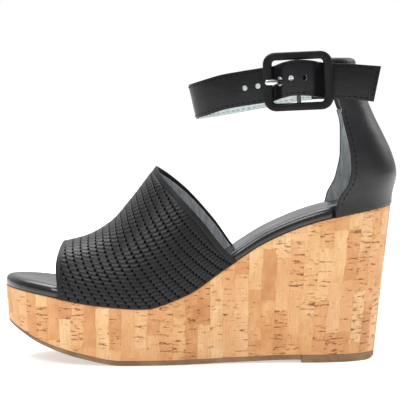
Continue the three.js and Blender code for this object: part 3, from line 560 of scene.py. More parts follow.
SMOOTH_LEATHER = leather("smooth_leather", (0.012, 0.012, 0.0135), 0.38, gloss=0.38)
STRAP_LEATHER = leather("strap_leather", (0.004, 0.004, 0.005), 0.34, gloss=0.30)
FOOTBED_LEATHER = leather("footbed_leather", (0.007, 0.007, 0.009), 0.24, 0.015, 0.7, 0.03)
BUCKLE_LEATHER = leather("buckle_leather", (0.003, 0.003, 0.0034), 0.46, 0.06, 0.22)
WOVEN = woven_leather()
GREY_LINING = lining("grey_lining", (0.27, 0.29, 0.30), (0.50, 0.53, 0.55))
PALE_LINING = lining("pale_lining", (0.56, 0.64, 0.64), (0.72, 0.79, 0.79))
CORK = cork()
RUBBER = rubber()
BRIGHT = metal("bright_metal", (0.82, 0.83, 0.85), 0.16)
PLATED = metal("plated_steel", (0.10, 0.10, 0.105), 0.35)
BOARD = plain_fibre("fibreboard", (0.55, 0.44, 0.30))
FELT = plain_fibre("felt", (0.45, 0.42, 0.38))
FOAM = plain_fibre("foam", (0.82, 0.78, 0.66))
AGGLOMERATE = plain_fibre("light_agglomerate", (0.62, 0.48, 0.32))
THREAD = thread("black_thread", (0.002, 0.002, 0.002))
PALE_THREAD = thread("pale_thread", (0.38, 0.43, 0.43))


# ---------- sole unit ----------
def make_cork_wrap(stations=420, rows=26):
    """The cork sheet, from a softened top edge down the wall to the outsole and back inside."""
    t = np.linspace(0, 1, stations)
    top = np.vstack([rim(LATERAL, t), rim(MEDIAL, t[-2:0:-1])])
    inner = np.vstack([rim(LATERAL, t, 1.9), rim(MEDIAL, t[-2:0:-1], 1.9)])
    low, low_inner = at_ground(top), at_ground(inner)
    z_top, z_low = wedge_top(top[:, 0]), wedge_bottom(low[:, 0])
    columns = [mix(with_z(top, z_top), with_z(inner, z_top), share) for share in (1.0, 0.5, 0.14)]
    columns += [with_z(top, z_top - 0.22)]
    for share in np.linspace(0, 1, rows)[1:-1]:
        columns.append(with_z(mix(top, low, share), mix(z_top - 0.2, z_low + 0.2, share)))
    columns += [with_z(low, z_low + 0.15), mix(with_z(low, z_low), with_z(low_inner, z_low), 0.14)]
    columns += [with_z(low_inner, z_low)]
    grid = np.stack(columns, 1)
    spot = np.stack([np.repeat(distances(with_z(low, 0)[:, None], 0), grid.shape[1], 1), grid[..., 2]], -1)
    wrap = grid_object("cork_sheet", grid, (True, True), spot)
    finish_piece(wrap, "sandal", CORK, "cork", "cork_wrap")


def tread_sections(shares_of, height_top, height_bottom, edge, across=9):
    """Closed sections of a rubber layer, station by station, with a rounded lower edge."""
    left, right = (at_ground(rim(side, shares_of(side), 0.15)) for side in (LATERAL, MEDIAL))
    shares = (1 - np.cos(np.linspace(0, np.pi, across))) / 2
    width = np.linalg.norm(right - left, axis=-1)
    inset = np.minimum(edge, width * 0.3) / np.maximum(width, 0.01)
    fillet = [(0.0, 1.0), (0.1, 0.45), (0.38, 0.12), (1.0, 0.0)]

    def row(spot, height, lift=0.0):
        return with_z(spot, height(spot[:, 0]) + edge * lift)

    rows = [row(mix(left, right, share), height_top) for share in shares[::-1]]
    rows += [row(mix(left, right, (inset * reach)[:, None]), height_bottom, lift) for reach, lift in fillet]
    rows += [row(mix(left, right, share), height_bottom) for share in shares[1:-1]]
    for reach, lift in fillet[::-1]:
        rows.append(row(mix(right, left, (inset * reach)[:, None]), height_bottom, lift))
    return np.stack(rows, 1)


def share_at_ground(side, x):
    t = np.linspace(0, 1, 1500)
    return np.interp(x, at_ground(rim(side, t))[:, 0], t)


def sole_face(x):
    """Where the rubber meets the bottom of the wedge."""
    return wedge_bottom(x) - 0.1


def make_outsole():
    shares = (1 - np.cos(np.linspace(0, np.pi * 0.5, 130))) ** 0.9

    def along(side):
        return shares * share_at_ground(side, OUTSOLE_END_X)

    def under(x):
        return wedge_bottom(x) - 0.3 - mix(*OUTSOLE_THICKNESS, ramp(x, TOE_TIP_X, -70))

    sections = tread_sections(along, sole_face, under, 0.7)
    outsole = grid_object("outsole_rubber", sections, (False, True), caps=True, weld=True)
    sharpen(outsole, 50)
    finish_piece(outsole, "sandal", RUBBER, "brown_rubber", "outsole")


def make_heel_top_piece():
    shares = np.sin(np.linspace(0, np.pi / 2, 70))
    back = at_ground(np.array([HEEL_TIP_X, 0.0]))[0]

    def along(side):
        start = share_at_ground(side, OUTSOLE_END_X + 0.3)
        return start + (1 - start) * shares

    def under(x):
        return TOP_PIECE_BEVEL * ramp(x, back - 7, back + 1) ** 2

    sections = tread_sections(along, sole_face, under, 0.8)
    piece = grid_object("heel_tread", sections, (False, True), caps=True, weld=True)
    sharpen(piece, 50)
    finish_piece(piece, "sandal", RUBBER, "brown_rubber", "heel_top_piece")


def cover_inset(side, x):
    """How far the footbed's edge stands inside the wedge's edge."""
    in_vamp = ramp(x, VAMP_FRONT_X - 3, VAMP_FRONT_X + 6) * (1 - ramp(x, 14, 24))
    in_counter = ramp(x, counter_edge[side](90) - 5, counter_edge[side](90) + 3)
    return 0.35 + 1.95 * in_vamp + 3.2 * in_counter


def footbed_half(side, t, profile):
    """One side's columns of the footbed's section, (n, m, 3)."""
    x = rim(side, t)[:, 0]
    columns = []
    for inset, height in profile:
        spot = rim(side, t, inset + cover_inset(side, x))
        columns.append(with_z(spot, wedge_top(spot[:, 0]) + height))
    return np.stack(columns, 1)


def make_footbed(stations=260, across=22):
    """The leather sock: tucked under, up the edge, rounded over on to a softly dished top."""
    t = (1 - np.cos(np.linspace(0, np.pi, stations))) / 2
    edge = [(4.0, 0.35), (0.5, 0.3), (0.0, 0.75), (-0.1, 2.0), (-0.1, 3.2), (0.1, 4.4), (0.55, 5.4),
            (1.25, 6.2), (2.15, 6.8), (3.3, 7.2), (4.7, 7.4), (6.4, FOOTBED_TOP)]
    left, right = footbed_half(LATERAL, t, edge), footbed_half(MEDIAL, t, edge)
    shares = np.linspace(0, 1, across)[1:-1]
    start, end = left[:, -1:], right[:, -1:]
    middle = start + (end - start) * shares[None, :, None]
    hollow = 1.0 * np.sin(np.pi * shares)[None, :] ** 1.5 * ramp(middle[..., 0], 55, 85)
    hollow = hollow + 0.5 * np.sin(np.pi * shares)[None, :] * ramp(-middle[..., 0], 30, 60)
    width = np.linalg.norm((end - start)[:, 0], axis=-1)[:, None]
    middle[..., 2] -= hollow * ramp(width, 2, 30)
    grid = np.concatenate([left, middle, right[:, ::-1]], 1)
    footbed = grid_object("footbed_sock", grid, (False, True), weld=True)
    finish_piece(footbed, "sandal", FOOTBED_LEATHER, "smooth_leather", "footbed_cover")


# ---------- vamp ----------
PROUD = 0.6
CONE_START, CONE_ANGLE = 72.0, 1.38      # the vamp cut flat is a fan: its inner radius and its angle
BRICK, BRICK_ROW, BRICK_SHIFT = 6.1, 2.65, 2.0


def vamp_point(x, turn, depth=0.0):
    left, right = edge_y(LATERAL, x, -PROUD), edge_y(MEDIAL, x, -PROUD)
    fullness = mix(0.78, 1.0, ramp(x, -86, -25))
    across, up = np.cos(turn), np.clip(np.sin(turn), 0, 1)
    half = (right - left) / 2 - depth
    base = wedge_top(x) + 0.5
    y = (left + right) / 2 - half * np.sign(across) * np.abs(across) ** fullness
    y = y + RIDGE_SHIFT * up**2 * ramp(x, -80, -30)
    return np.stack([x, y, base + (crest(x) - base - depth) * up**fullness], -1)


def vamp_front_x(turn):
    return VAMP_FRONT_X + VAMP_FRONT_SWEEP * np.sin(turn) ** 3 + 2 * np.cos(turn) ** 12


def vamp_rear_x(turn):
    low, high = np.full_like(turn, -60), np.full_like(turn, 40)
    for _ in range(40):
        x = (low + high) / 2
        z = vamp_point(x, turn)[..., 2]
        cut = np.where(turn < np.pi / 2, topline[LATERAL](z), topline[MEDIAL](z))
        low, high = np.where(x < cut, x, low), np.where(x < cut, high, x)
    return low


def vamp_grid(rows, columns, depth=0.0, cut_back=0.0):
    turn = np.pi * np.linspace(0, 1, columns)
    front, rear = vamp_front_x(turn) + cut_back, vamp_rear_x(turn) - cut_back
    share = np.linspace(0, 1, rows)[:, None]
    x = front + (rear - front) * share
    return vamp_point(x, np.broadcast_to(turn, x.shape), depth)


def normals_of(grid):
    return unit(np.cross(np.gradient(grid, axis=0), np.gradient(grid, axis=1)))


def weave(along, across):
    """Height of the embossed weave, 0 in a pit to 1 on a brick, at a place on the flat leather."""
    row = np.floor(across / BRICK_ROW)
    in_row = across / BRICK_ROW - row - 0.5
    shifted = (along + BRICK_SHIFT * row) / BRICK
    in_brick = shifted - np.round(shifted)
    pillow = np.sqrt(np.clip(1 - (2 * in_row) ** 2, 0, 1))
    ends = 1 - 0.22 * np.exp(-((in_brick * BRICK / 0.9) ** 2))
    leaning = in_brick * BRICK + 0.4 * in_row * BRICK_ROW
    pit = np.exp(-((leaning / 0.66) ** 4) - ((in_row * BRICK_ROW / 0.86) ** 4))
    return np.clip(0.52 + 0.48 * pillow * ends - 1.0 * pit, 0, 1)


def make_vamp(rows=330, columns=620):
    """The woven vamp: the relief is real, the folded rims at both openings stay smooth."""
    grid = vamp_grid(rows, columns)
    normal = normals_of(grid)
    if normal[rows // 2, columns // 2, 2] < 0:
        normal = -normal
    along, around = distances(grid, 0), distances(grid, 1)
    angle = CONE_ANGLE * around / around[:, -1:]
    radius = CONE_START + along
    spot = np.stack([radius * np.cos(angle), radius * np.sin(angle)], -1)
    relief = weave(spot[..., 0], spot[..., 1])
    from_front, from_rear = along, along[-1:] - along
    from_foot = np.minimum(around, around[:, -1:] - around)
    inside = ramp(np.minimum(from_front, from_rear * 0.8), 2.4, 3.6)
    bead = np.exp(-(((np.minimum(from_front, from_rear * 0.8) - 2.7) / 0.5) ** 2))
    level = mix(0.62, relief, inside)
    sunk = 0.5 * (level - 1) * mix(0.25, 1, inside) - 0.22 * bead
    sunk = sunk * ramp(from_foot, 0.0, 2.0)
    grid = grid + normal * sunk[..., None]
    foot = [(2.6, -0.1), (0.9, -0.35), (0.15, -0.2)]
    sides = []
    for side, column in ((LATERAL, 0), (MEDIAL, -1)):
        x = grid[:, column, 0]
        z = wedge_top(x) + 0.5
        rowset = [np.stack([x, edge_y(side, x, inset - PROUD), z + lift], -1) for inset, lift in foot]
        sides.append(np.stack(rowset if side == LATERAL else rowset[::-1], 1))
    whole = np.concatenate([sides[0], grid, sides[1]], 1)

    def pad(values):
        return np.concatenate([values[:, :1]] * 3 + [values] + [values[:, -1:]] * 3, 1)

    vamp = grid_object("woven_vamp", whole, spot=pad(spot))
    relief_values = vamp.data.attributes.new("relief", "FLOAT", "POINT")
    relief_values.data.foreach_set("value", pad(level).astype(np.float32).ravel())
    thicken(vamp, 1.2, -1 if faces_out(vamp) else 1, 0.25)
    finish_piece(vamp, "sandal", WOVEN, "woven_leather", "vamp_outer")


def faces_out(obj):
    """Whether a sheet's faces look away from the middle of the sandal."""
    polygons = list(obj.data.polygons)[::50]
    middle = sum((p.center for p in polygons), Vector()) / len(polygons)
    return sum((p.center - middle).dot(p.normal) for p in polygons) > 0


def make_vamp_lining():
    grid = vamp_grid(90, 160, PROUD + 0.85, 1.1)
    sheet = grid_object("vamp_lining_sheet", grid)
    thicken(sheet, 0.7, -1 if faces_out(sheet) else 1, 0.2)
    finish_piece(sheet, "sandal", GREY_LINING, "grey_lining", "vamp_lining")


# ---------- heel counter ----------
def counter_point(z, turn, depth):
    lateral = turn < np.pi / 2
    back = np.clip(np.sin(turn), 0, 1) ** 0.82
    reach = np.sign(np.cos(turn)) * np.abs(np.cos(turn)) ** 0.82
    edge = np.where(lateral, counter_edge[LATERAL](z), counter_edge[MEDIAL](z))
    upper = np.stack([mix(edge, counter_back(z) - depth, back), -(counter_width(z) - depth) * reach], -1)
    start = np.where(lateral, counter_edge[LATERAL](88), counter_edge[MEDIAL](88))
    foot_x = np.minimum(mix(start, HEEL_TIP_X + 0.55, back), HEEL_TIP_X + 0.55)
    side = np.where(lateral, LATERAL, MEDIAL)
    near = foot_x - 0.05
    edge_line = np.where(lateral, edge_y(LATERAL, near, -PROUD), edge_y(MEDIAL, near, -PROUD))
    foot = np.stack([foot_x - depth * back, edge_line - side * depth * np.abs(reach)], -1)
    rise = ramp(z - wedge_top(foot[..., 0]), 0, COUNTER_BLEND)[..., None]
    return with_z(foot * (1 - rise) + upper * rise, z)


def counter_grid(profile, columns):
    """Points round the counter for (depth, z, on_wedge) rows; on_wedge makes z a height over the wedge."""
    turn = np.pi * np.linspace(0, 1, columns)
    made = []
    for depth, z, on_wedge in profile:
        if on_wedge:
            probe = counter_point(np.full(columns, 92.0), turn, depth)
            made.append(counter_point(wedge_top(probe[:, 0]) + z, turn, depth))
        else:
            made.append(counter_point(np.full(columns, float(z)), turn, depth))
    return np.stack(made, 1)


def turned_in(grid, side):
    """Columns that close a front edge of the counter: from inside, round the fold, to the surface."""
    edge = grid[0] if side == LATERAL else grid[-1]
    steps_in = [(3.1, 0.9), (2.8, 0.1), (2.2, -0.3), (1.2, -0.4), (0.5, -0.3)]
    made = [edge + np.array([forward, -side * inward, 0.0]) for inward, forward in steps_in]
    return np.stack(made if side == LATERAL else made[::-1], 1)


def make_counter(columns=220):
    """Smooth leather from the wedge up, turned over at the top into the tunnel for the strap."""
    rising = [(0, z, False) for z in np.linspace(99, COUNTER_TOP - 1.6, 70)]
    turn_over = [(4.1 - 4.1 * math.cos(a), COUNTER_TOP - 1.6 + 1.6 * math.sin(a), False)
                 for a in np.linspace(0.25, np.pi - 0.25, 10)]
    inside = [(8.2, z, False) for z in np.linspace(COUNTER_TOP - 2.4, 158, 18)]
    pinched = [(8.2 - 2.3 * share, 158 - 7.5 * share, False) for share in (0.35, 0.7, 1.0)]
    foot = [(2.6, 0.3, True), (0.7, 0.25, True), (0.1, 0.5, True), (0, 1.4, True), (0, 3.0, True)]
    profile = foot + rising + turn_over + inside + pinched
    counter = grid_object("counter_leather", counter_grid(profile, columns))
    thicken(counter, 1.25, -1 if faces_heel(counter) else 1, 0.3)
    finish_piece(counter, "sandal", SMOOTH_LEATHER, "smooth_leather", "counter_outer")
    wall = counter_grid([(0, 4.0, True)] + [(0, z, False) for z in np.linspace(99, 150, 50)], 90)
    for name, side in (("counter_fold_lateral", LATERAL), ("counter_fold_medial", MEDIAL)):
        fold = grid_object(name, turned_in(wall, side))
        thicken(fold, 0.5, 0, 0.15)
        finish_piece(fold, "sandal", SMOOTH_LEATHER, "smooth_leather")


def faces_heel(obj):
    """Whether the polygon furthest towards the heel looks that way."""
    return max(obj.data.polygons, key=lambda p: p.center.x).normal.x > 0


def make_counter_lining(columns=160):
    heights = [(3.05, 1.9, True), (3.05, 4.0, True)] + [(3.05, z, False) for z in np.linspace(99, 152, 40)]
    sheet = grid_object("counter_lining_sheet", counter_grid(heights, columns))
    thicken(sheet, 0.8, -1 if faces_heel(sheet) else 1, 0.2)
    finish_piece(sheet, "sandal", GREY_LINING, "grey_lining", "counter_lining")


# ---------- ankle strap ----------
def strap_route():
    turn = mix(0.12, 0.88, np.linspace(0, 1, 11)) * np.pi
    tunnel = counter_point(np.full(11, 168.0), turn, np.full(11, float(STRAP_IN_TUNNEL)))
    start = [(66.2, -23.3, 168.2), (73, -23.3, 168.1)]
    to_ankle = [(62, 25.6, 166), (42, 26, 162.2), (22, 22.6, 158.6), (6, 14.6, 156.2), (-2.4, 5, 155.2),
                (-3.2, -4, 155.8), (3, -13.5, 158.1), (14, -20.8, 161.7), (26, -25.6, 164),
                (37, -28.4, 165.8), (44.3, -28.9, 167)]
    over_bar = [(46.9, -32.4, 168), (50, -36.8, 169.2), (53.6, -37.8, 170.2), (57.8, -37.9, 170.5),
                (62, -37.4, 170.4), (66.2, -34.3, 169.9), (70, -30.3, 169.2), (74.5, -28.9, 168.7),
                (80, -28.9, 168.4), (90, -29.1, 168), (104.8, -28.5, 166.7)]
    return spline([*start, *tunnel.tolist(), *to_ankle, *over_bar])


ROUTE = strap_route()


def strap_frames(shares):
    """Middle, outward and edge directions of the strap at shares of its route."""
    middle = ROUTE(shares)
    along = ROUTE(np.minimum(shares + 1e-4, 1)) - ROUTE(np.maximum(shares - 1e-4, 0))
    out = unit(np.stack([along[:, 1], -along[:, 0], np.zeros(len(along))], -1))
    front = 0.23 * (1 - ramp(middle[:, 0], -4, 24))
    back = 0.32 * ramp(middle[:, 0], 78, 92) * (1 - ramp(np.abs(middle[:, 1]), 24.5, 27))
    return middle, out, unit(np.stack([-front - back, np.zeros(len(along)), np.ones(len(along))], -1))


def even_shares(count):
    """Shares of the strap's route at even distances."""
    fine = np.linspace(0, 1, 6000)
    length = distances(ROUTE(fine)[:, None], 0)[:, 0]
    return np.interp(np.linspace(0, length[-1], count), length, fine), length[-1]


def strap_band(name, depth, thickness, width, count=760):
    """One layer of the strap, with soft edges and a slanted free end."""
    shares, length = even_shares(count)
    middle, out, up = strap_frames(shares)
    profile = rounded_profile(thickness, width, thickness * 0.42, 4)
    sections = sweep(middle + out * depth, out, up, profile)
    slant = TAIL_SLANT * (profile[:, 1] / STRAP_WIDTH)
    reach = ramp(np.linspace(0, length, count), length - 10, length)
    sections[..., 0] += reach[:, None] * slant[None, :]
    return grid_object(name, sections, (False, True), caps=True)


def share_beside_buckle(x):
    shares = np.linspace(0.56, 1, 4000)
    return np.interp(x, ROUTE(shares)[:, 0], shares)


def hole_shares():
    fine = np.linspace(0, 1, 6000)
    length = distances(ROUTE(fine)[:, None], 0)[:, 0]
    used = np.interp(share_beside_buckle(USED_HOLE_X), fine, length)
    return np.interp(used + HOLE_PITCH * (np.arange(HOLE_COUNT) - USED_HOLE), length, fine)


def punch(strap):
    """Cuts the strap's holes; the one in use is stretched by the prong."""
    middle, out, up = strap_frames(hole_shares())
    tools = []
    angle = circle(32)
    for k in range(HOLE_COUNT):
        side = np.cross(up[k], out[k])
        wide, tall = USED_HOLE_REACH if k == USED_HOLE else (HOLE_RADIUS, HOLE_RADIUS)
        ring = np.cos(angle)[:, None] * side * wide + np.sin(angle)[:, None] * up[k] * tall
        grid = np.stack([middle[k] + ring + out[k] * depth for depth in (-2.4, 2.4)])
        tools.append(grid_object("punch", grid, (False, True), caps=True))
    cut_out(strap, tools)


def cut_out(obj, tools):
    """Cuts the tools' shapes out of a piece and removes the tools."""
    for tool in tools:
        cut = obj.modifiers.new("hole", "BOOLEAN")
        cut.operation = "DIFFERENCE"
        cut.solver = "EXACT"
        cut.use_self = True      # without this the cut leaves only a scrap of the chape
        cut.object = tool
    apply_modifiers(obj)
    for tool in tools:
        bpy.data.objects.remove(tool)
    sharpen(obj, 40)


def make_strap():
    outer = strap_band("strap_leather", 0.62, 1.22, STRAP_WIDTH)
    inner = strap_band("strap_lining", -0.62, 1.2, STRAP_WIDTH - 0.5)
    punch(outer)
    punch(inner)
    finish_piece(outer, "ankle_strap", STRAP_LEATHER, "smooth_leather", "ankle_strap_outer")
    finish_piece(inner, "ankle_strap", PALE_LINING, "pale_lining", "ankle_strap_lining")


# ---------- stitching ----------
def stitches(name, line, normal, body, material=None, length=2.4, gap=1.0, radius=0.27, sink=0.03):
    """A row of thread stitches along a line of points, each a small capsule that dips at its ends."""
    run = distances(line[:, None], 0)[:, 0]
    starts = np.arange(1.0, run[-1] - length - 0.8, length + gap)
    ring = circle(8)
    vertices, faces = [], []
    for start in starts:
        stations = start + length * np.array([0.0, 0.12, 0.3, 0.5, 0.7, 0.88, 1.0])
        dips = np.array([-0.9, -0.1, 0.55, 0.7, 0.55, -0.1, -0.9]) * radius - sink
        widths = np.array([0.35, 0.85, 1.0, 1.0, 1.0, 0.85, 0.35]) * radius
        centre = np.stack([np.interp(stations, run, line[:, k]) for k in range(3)], -1)
        lift = np.stack([np.interp(stations, run, normal[:, k]) for k in range(3)], -1)
        along = np.gradient(centre, axis=0)
        side = unit(np.cross(along, lift))
        centre = centre + lift * dips[:, None]
        base = len(vertices)
        for k in range(7):
            for a in ring:
                vertices.append(centre[k] + (side[k] * math.cos(a) + lift[k] * math.sin(a)) * widths[k])
        for k in range(6):
            for j in range(8):
                n = (j + 1) % 8
                faces.append((base + k * 8 + j, base + k * 8 + n, base + k * 8 + 8 + n, base + k * 8 + 8 + j))
        faces.append(tuple(base + j for j in range(8)))
        faces.append(tuple(base + 48 + j for j in reversed(range(8))))
    mesh = new_mesh(name, np.array(vertices), faces)
    obj = add_object(name, mesh)
    tidy(mesh, False)
    finish_piece(obj, body, material or THREAD, "smooth_leather")


def strap_stitching():
    """Seams along both edges of the strap and across its free end, in the stretches that show."""
    shares, length = even_shares(1400)
    middle, out, up = strap_frames(shares)
    inset = STRAP_WIDTH / 2 - 1.7
    slant = TAIL_SLANT * ramp(np.linspace(0, length, 1400), length - 10, length)
    for name, edge in (("strap_seam_top", 1), ("strap_seam_bottom", -1)):
        line = middle + out * 1.25 + up * (edge * inset)
        line[:, 0] += slant * edge * inset / STRAP_WIDTH
        keep = slice(20, 1392)
        stitches(name, line[keep], out[keep], "ankle_strap")
        stitches(name + "_inner", (line - out * 2.48)[keep], -out[keep], "ankle_strap", PALE_THREAD)
    end_middle = middle[-1] + out[-1] * 1.25
    edge = np.linspace(-inset, inset, 40)
    line = end_middle + edge[:, None] * up[-1]
    line[:, 0] += TAIL_SLANT * edge / STRAP_WIDTH - 1.7
    stitches("strap_seam_end", line, np.repeat(out[-1:], 40, 0), "ankle_strap")


def counter_line(turn, heights, depth=0.0):
    """A line up the counter's surface with its outward direction."""
    line = counter_point(heights, turn, np.full(len(heights), depth))
    ahead = counter_point(heights, turn + 0.01, np.full(len(heights), depth))
    behind = counter_point(heights, turn - 0.01, np.full(len(heights), depth))
    along = ahead - behind
    normal = np.stack([along[:, 1], -along[:, 0], np.zeros(len(along))], -1)
    return line, unit(normal)


def counter_stitching():
    """Seams up both front edges of the counter, under its folded top and below the tunnel."""
    sides = (("counter_seam_lateral", 0.052, 155.0),
             ("counter_seam_medial", math.pi - 0.052, COUNTER_TOP - 2.5))
    for name, turn, top in sides:
        heights = np.linspace(93, top, 200)
        line, normal = counter_line(np.full(200, turn), heights)
        stitches(name, line, normal, "sandal")
    for name, z in (("counter_seam_top", COUNTER_TOP - 2.6), ("counter_seam_tunnel", 158.5)):
        turn = np.linspace(0.07, math.pi - 0.07, 240)
        line, normal = counter_line(turn, np.full(240, z))
        stitches(name, line, normal, "sandal")


# ---------- buckle ----------
def to_buckle(points):
    """From the buckle's own plane (x across, y up, z to the front) to its place beside the ankle."""
    c, s = math.cos(BUCKLE_TILT), math.sin(BUCKLE_TILT)
    x, y, z = points[..., 0], points[..., 1], points[..., 2]
    return np.stack([c * x - s * y, -z, s * x + c * y], -1) + BUCKLE


def frame_loop(width, height, corner, per_side=14, per_corner=10):
    """A rounded rectangle in the buckle's plane with its outward direction."""
    points, outs = [], []
    for k, (sx, sy) in enumerate([(1, 1), (-1, 1), (-1, -1), (1, -1)]):
        centre = np.array([sx * (width / 2 - corner), sy * (height / 2 - corner)])
        for angle in np.linspace(k * 90, k * 90 + 90, per_corner):
            a = math.radians(angle)
            outs.append((math.cos(a), math.sin(a)))
            points.append(centre + corner * np.array(outs[-1]))
        nx, ny = [(-1, 1), (-1, -1), (1, -1), (1, 1)][k]
        following = np.array([nx * (width / 2 - corner), ny * (height / 2 - corner)])
        a = math.radians(k * 90 + 90)
        ahead = np.array([math.cos(a), math.sin(a)])
        start, end = centre + corner * ahead, following + corner * ahead
        for share in np.linspace(0, 1, per_side + 1)[1:-1]:
            points.append(mix(start, end, share))
            outs.append(ahead)
    return np.array(points), np.array(outs)


def buckle_ring(name, side_width, top_width, depth, rounding):
    """A closed ring along the middle of the buckle's bars."""
    points, outs = frame_loop(BUCKLE_SIZE[0] - SIDE_BAR, BUCKLE_SIZE[1] - TOP_BAR, 4.6)
    sideways = np.abs(outs[:, :1]) ** 2
    widths = side_width * sideways + top_width * (1 - sideways)
    profile = rounded_profile(1.0, 1.0, rounding, 6)
    flat = points[:, None] + outs[:, None] * (profile[None, :, :1] * widths[:, None])
    front = np.broadcast_to(profile[None, :, 1:] * depth, flat.shape[:2] + (1,))
    return grid_object(name, to_buckle(np.concatenate([flat, front], -1)), (True, True))


def make_buckle():
    """The leather-covered frame over its steel ring, with the steel bar across the middle."""
    cover = buckle_ring("buckle_leather_cover", SIDE_BAR, TOP_BAR, COVER_DEPTH, 0.36)
    finish_piece(cover, "buckle", BUCKLE_LEATHER, "smooth_leather", "buckle_cover")
    core = buckle_ring("buckle_steel_ring", 2.6, 2.6, 2.0, 0.2)
    finish_piece(core, "buckle", PLATED, "plated_steel")
    angle = circle(32)
    heights = np.linspace(-CENTRE_BAR_REACH, CENTRE_BAR_REACH, 30)
    ring = CENTRE_BAR_RADIUS * np.stack([np.cos(angle), np.zeros(32), np.sin(angle)], -1)
    grid = ring[None] + np.array([0, 1, 0]) * heights[:, None, None]
    bar = grid_object("buckle_centre_bar", to_buckle(grid), (False, True), caps=True)
    sharpen(bar)
    finish_piece(bar, "buckle", PLATED, "plated_steel", "buckle_frame")


def make_chape():
    """The leather tab stitched to the strap and folded round the centre bar, slotted for the prong."""
    angle = mix(0.35, -1.05, np.linspace(0, 1, 7)) * np.pi
    radius = CHAPE_WRAP_RADIUS
    wrap = [(BUCKLE[0] + radius * math.cos(a), BUCKLE[1] + radius * math.sin(a)) for a in angle]
    outer_leg = [(73.5, -25.45), (68, -25.45), (63.5, -26.8), (60.4, -30)]
    inner_leg = [(56.2, -30.8), (59.5, -26.6), (64, -21.9), (68, -21.15), (73.5, -21.15)]
    route = spline([(x, y, BUCKLE[2]) for x, y in (*outer_leg, *wrap, *inner_leg)])
    middle = route(np.linspace(0, 1, 160))
    along = np.gradient(middle, axis=0)
    out = unit(np.stack([-along[:, 1], along[:, 0], np.zeros(160)], -1))
    up = np.tile([-BUCKLE_TILT, 0.0, 1.0], (160, 1))
    sections = sweep(middle, out, up, rounded_profile(1.0, CHAPE_HEIGHT, 0.38))
    tab = grid_object("chape_leather", sections, (False, True), caps=True)
    corners = np.array([[(-1, -1, z), (1, -1, z), (1, 1, z), (-1, 1, z)] for z in (-1, 1)]) * CHAPE_SLOT_HALF
    cut_out(tab, [grid_object("slot", corners + BUCKLE + CHAPE_SLOT_SHIFT, (False, True), caps=True)])
    finish_piece(tab, "ankle_strap", STRAP_LEATHER, "smooth_leather", "buckle_chape")


def signed_power(value, power):
    return np.sign(value) * np.abs(value) ** power


def make_prong():
    """A flat-faced prong with rounded edges and a raised tip, rolled into an eye round the bar."""
    route = spline([(-1.9, 0, -0.1), (-4, 0, 0), (-7, 0, 0.3), (-10.8, 0, 1.0), (-13, 0, 2.4), (-15, 0, 3.6),
                    (-17.4, 0, 3.7), (-19.7, 0, 3.5)])
    shares = np.linspace(0, 1, 90)
    middle = route(shares)
    along = unit(np.gradient(middle, axis=0))
    front = np.stack([along[:, 2], np.zeros(90), -along[:, 0]], -1)
    across = np.tile([0.0, 1.0, 0.0], (90, 1))
    angle = circle(24)
    wide, deep = 1.6 * signed_power(np.cos(angle), 0.7), 0.75 * signed_power(np.sin(angle), 0.8)
    section = np.stack([wide, deep], -1)
    to_tip = np.linalg.norm(middle - middle[-1], axis=-1)
    taper = np.sqrt(np.clip(1 - (1 - np.clip(to_tip / 1.6, 0, 1)) ** 2, 0.0004, 1))
    sections = middle[:, None] + across[:, None] * section[None, :, :1] * taper[:, None, None]
    sections += front[:, None] * section[None, :, 1:] * taper[:, None, None] ** 0.6
    arm = grid_object("prong_arm", to_buckle(sections), (False, True), caps=True)
    turn = circle(40)
    profile = rounded_profile(0.95, 3.2, 0.3, 3)
    radial = np.stack([np.cos(turn), np.zeros(40), np.sin(turn)], -1)
    upright = np.tile([0.0, 1.0, 0.0], (40, 1))
    eye = grid_object("prong_eye", to_buckle(sweep(radial * 2.02, radial, upright, profile)), (True, True))
    finish_piece(arm, "prong", BRIGHT, "bright_metal", "buckle_prong")
    finish_piece(eye, "prong", BRIGHT, "bright_metal")


# ---------- hidden nodes keep their CAD shape ----------
HIDDEN = {
    "wedge_core": AGGLOMERATE, "bottom_filler": FELT, "insole_board": BOARD, "steel_shank": PLATED,
    "shank_rivet_front": PLATED, "shank_rivet_rear": PLATED, "footbed_foam": FOAM, "counter_stiffener": BOARD,
}


def dress_hidden():
    for name, material in HIDDEN.items():
        node = frame["nodes"][name]
        node.data.materials.clear()
        node.data.materials.append(material)


# ---------- stage ----------
def make_stage():
    """A white floor, soft studio light from above and a white backdrop."""
    look = Look("floor", (0.9, 0.9, 0.9), 0.9, Specular_IOR_Level=0.05, Emission_Color=(1, 1, 1, 1),
                Emission_Strength=0.5)
    look.bump(look.noise(look.place(), 0.02, 2.0), 0.02)
    edge = 30.0
    mesh = bpy.data.meshes.new("floor")
    mesh.from_pydata([(-edge, -edge, 0), (edge, -edge, 0), (edge, edge, 0), (-edge, edge, 0)], [], [(0, 1, 2, 3)])
    mesh.materials.append(look.material)
    add_object("floor", mesh)
    make_world()
    softbox("key", (-0.5, -1.1, 1.3), 0.7, 10)
    softbox("rim", (1.0, 0.5, 0.8), 0.8, 6)
    softbox("top", (-0.3, 0.5, 1.3), 0.9, 12)
    bpy.context.scene.view_settings.view_transform = "Standard"


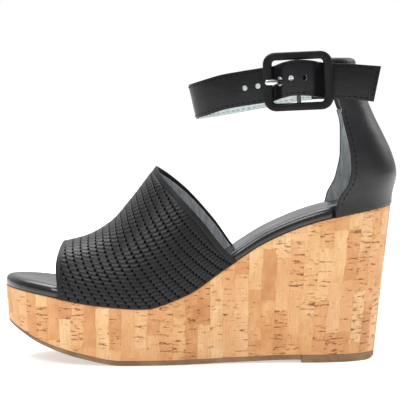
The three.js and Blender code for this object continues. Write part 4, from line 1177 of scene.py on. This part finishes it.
def make_world():
    """White behind the sandal; as a light it is bright overhead and behind, dim in front."""
    world = bpy.data.worlds.new("studio")
    bpy.context.scene.world = world
    world.use_nodes = True
    tree = world.node_tree

    def add(kind):
        return tree.nodes.new("ShaderNode" + kind)

    sky = tree.nodes["Background"]
    split, path, light = add("SeparateXYZ"), add("LightPath"), add("Mix")
    tree.links.new(add("TexCoord").outputs["Generated"], split.inputs["Vector"])
    levels = []
    for axis, low, high, dim, bright in (("Z", 0.0, 0.9, 0.06, 0.60), ("Y", -0.1, 0.8, 0.0, 0.6)):
        level = add("MapRange")
        tree.links.new(split.outputs[axis], level.inputs["Value"])
        for key, value in {"From Min": low, "From Max": high, "To Min": dim, "To Max": bright}.items():
            level.inputs[key].default_value = value
        levels.append(level.outputs["Result"])
    total = add("Math")
    for slot, level in enumerate(levels):
        tree.links.new(level, total.inputs[slot])
    light.data_type = "FLOAT"
    light.inputs["B"].default_value = 1.0
    tree.links.new(path.outputs["Is Camera Ray"], light.inputs["Factor"])
    tree.links.new(total.outputs["Value"], light.inputs["A"])
    tree.links.new(light.outputs["Result"], sky.inputs["Strength"])
    sky.inputs["Color"].default_value = (1, 1, 1, 1)


def softbox(name, place, size, power):
    light = bpy.data.lights.new(name, "AREA")
    light.shape = "SQUARE"
    light.size = size
    light.energy = power
    lamp = add_object(name, light)
    lamp.location = place
    aim = Vector((0, 0, 0.09)) - Vector(place)
    lamp.rotation_euler = aim.to_track_quat("-Z", "Y").to_euler()


def make_camera():
    """A long lens a little above the strap, tipped down four degrees."""
    distance, pitch = 1.24, math.radians(3.95)
    aim = Vector((0.0, 0.0, 0.096))
    data = bpy.data.cameras.new("camera")
    data.sensor_width = 36
    data.lens = 36 * 2043 / 400
    camera = add_object("camera", data)
    camera.location = aim + distance * Vector((0, -math.cos(pitch), math.sin(pitch)))
    camera.rotation_euler = (math.pi / 2 - pitch, 0, 0)
    bpy.context.scene.camera = camera


make_camera()
make_stage()
make_cork_wrap()
make_outsole()
make_heel_top_piece()
make_footbed()
make_vamp()
make_vamp_lining()
make_counter()
make_counter_lining()
make_strap()
strap_stitching()
counter_stitching()
make_buckle()
make_prong()
make_chape()
dress_hidden()
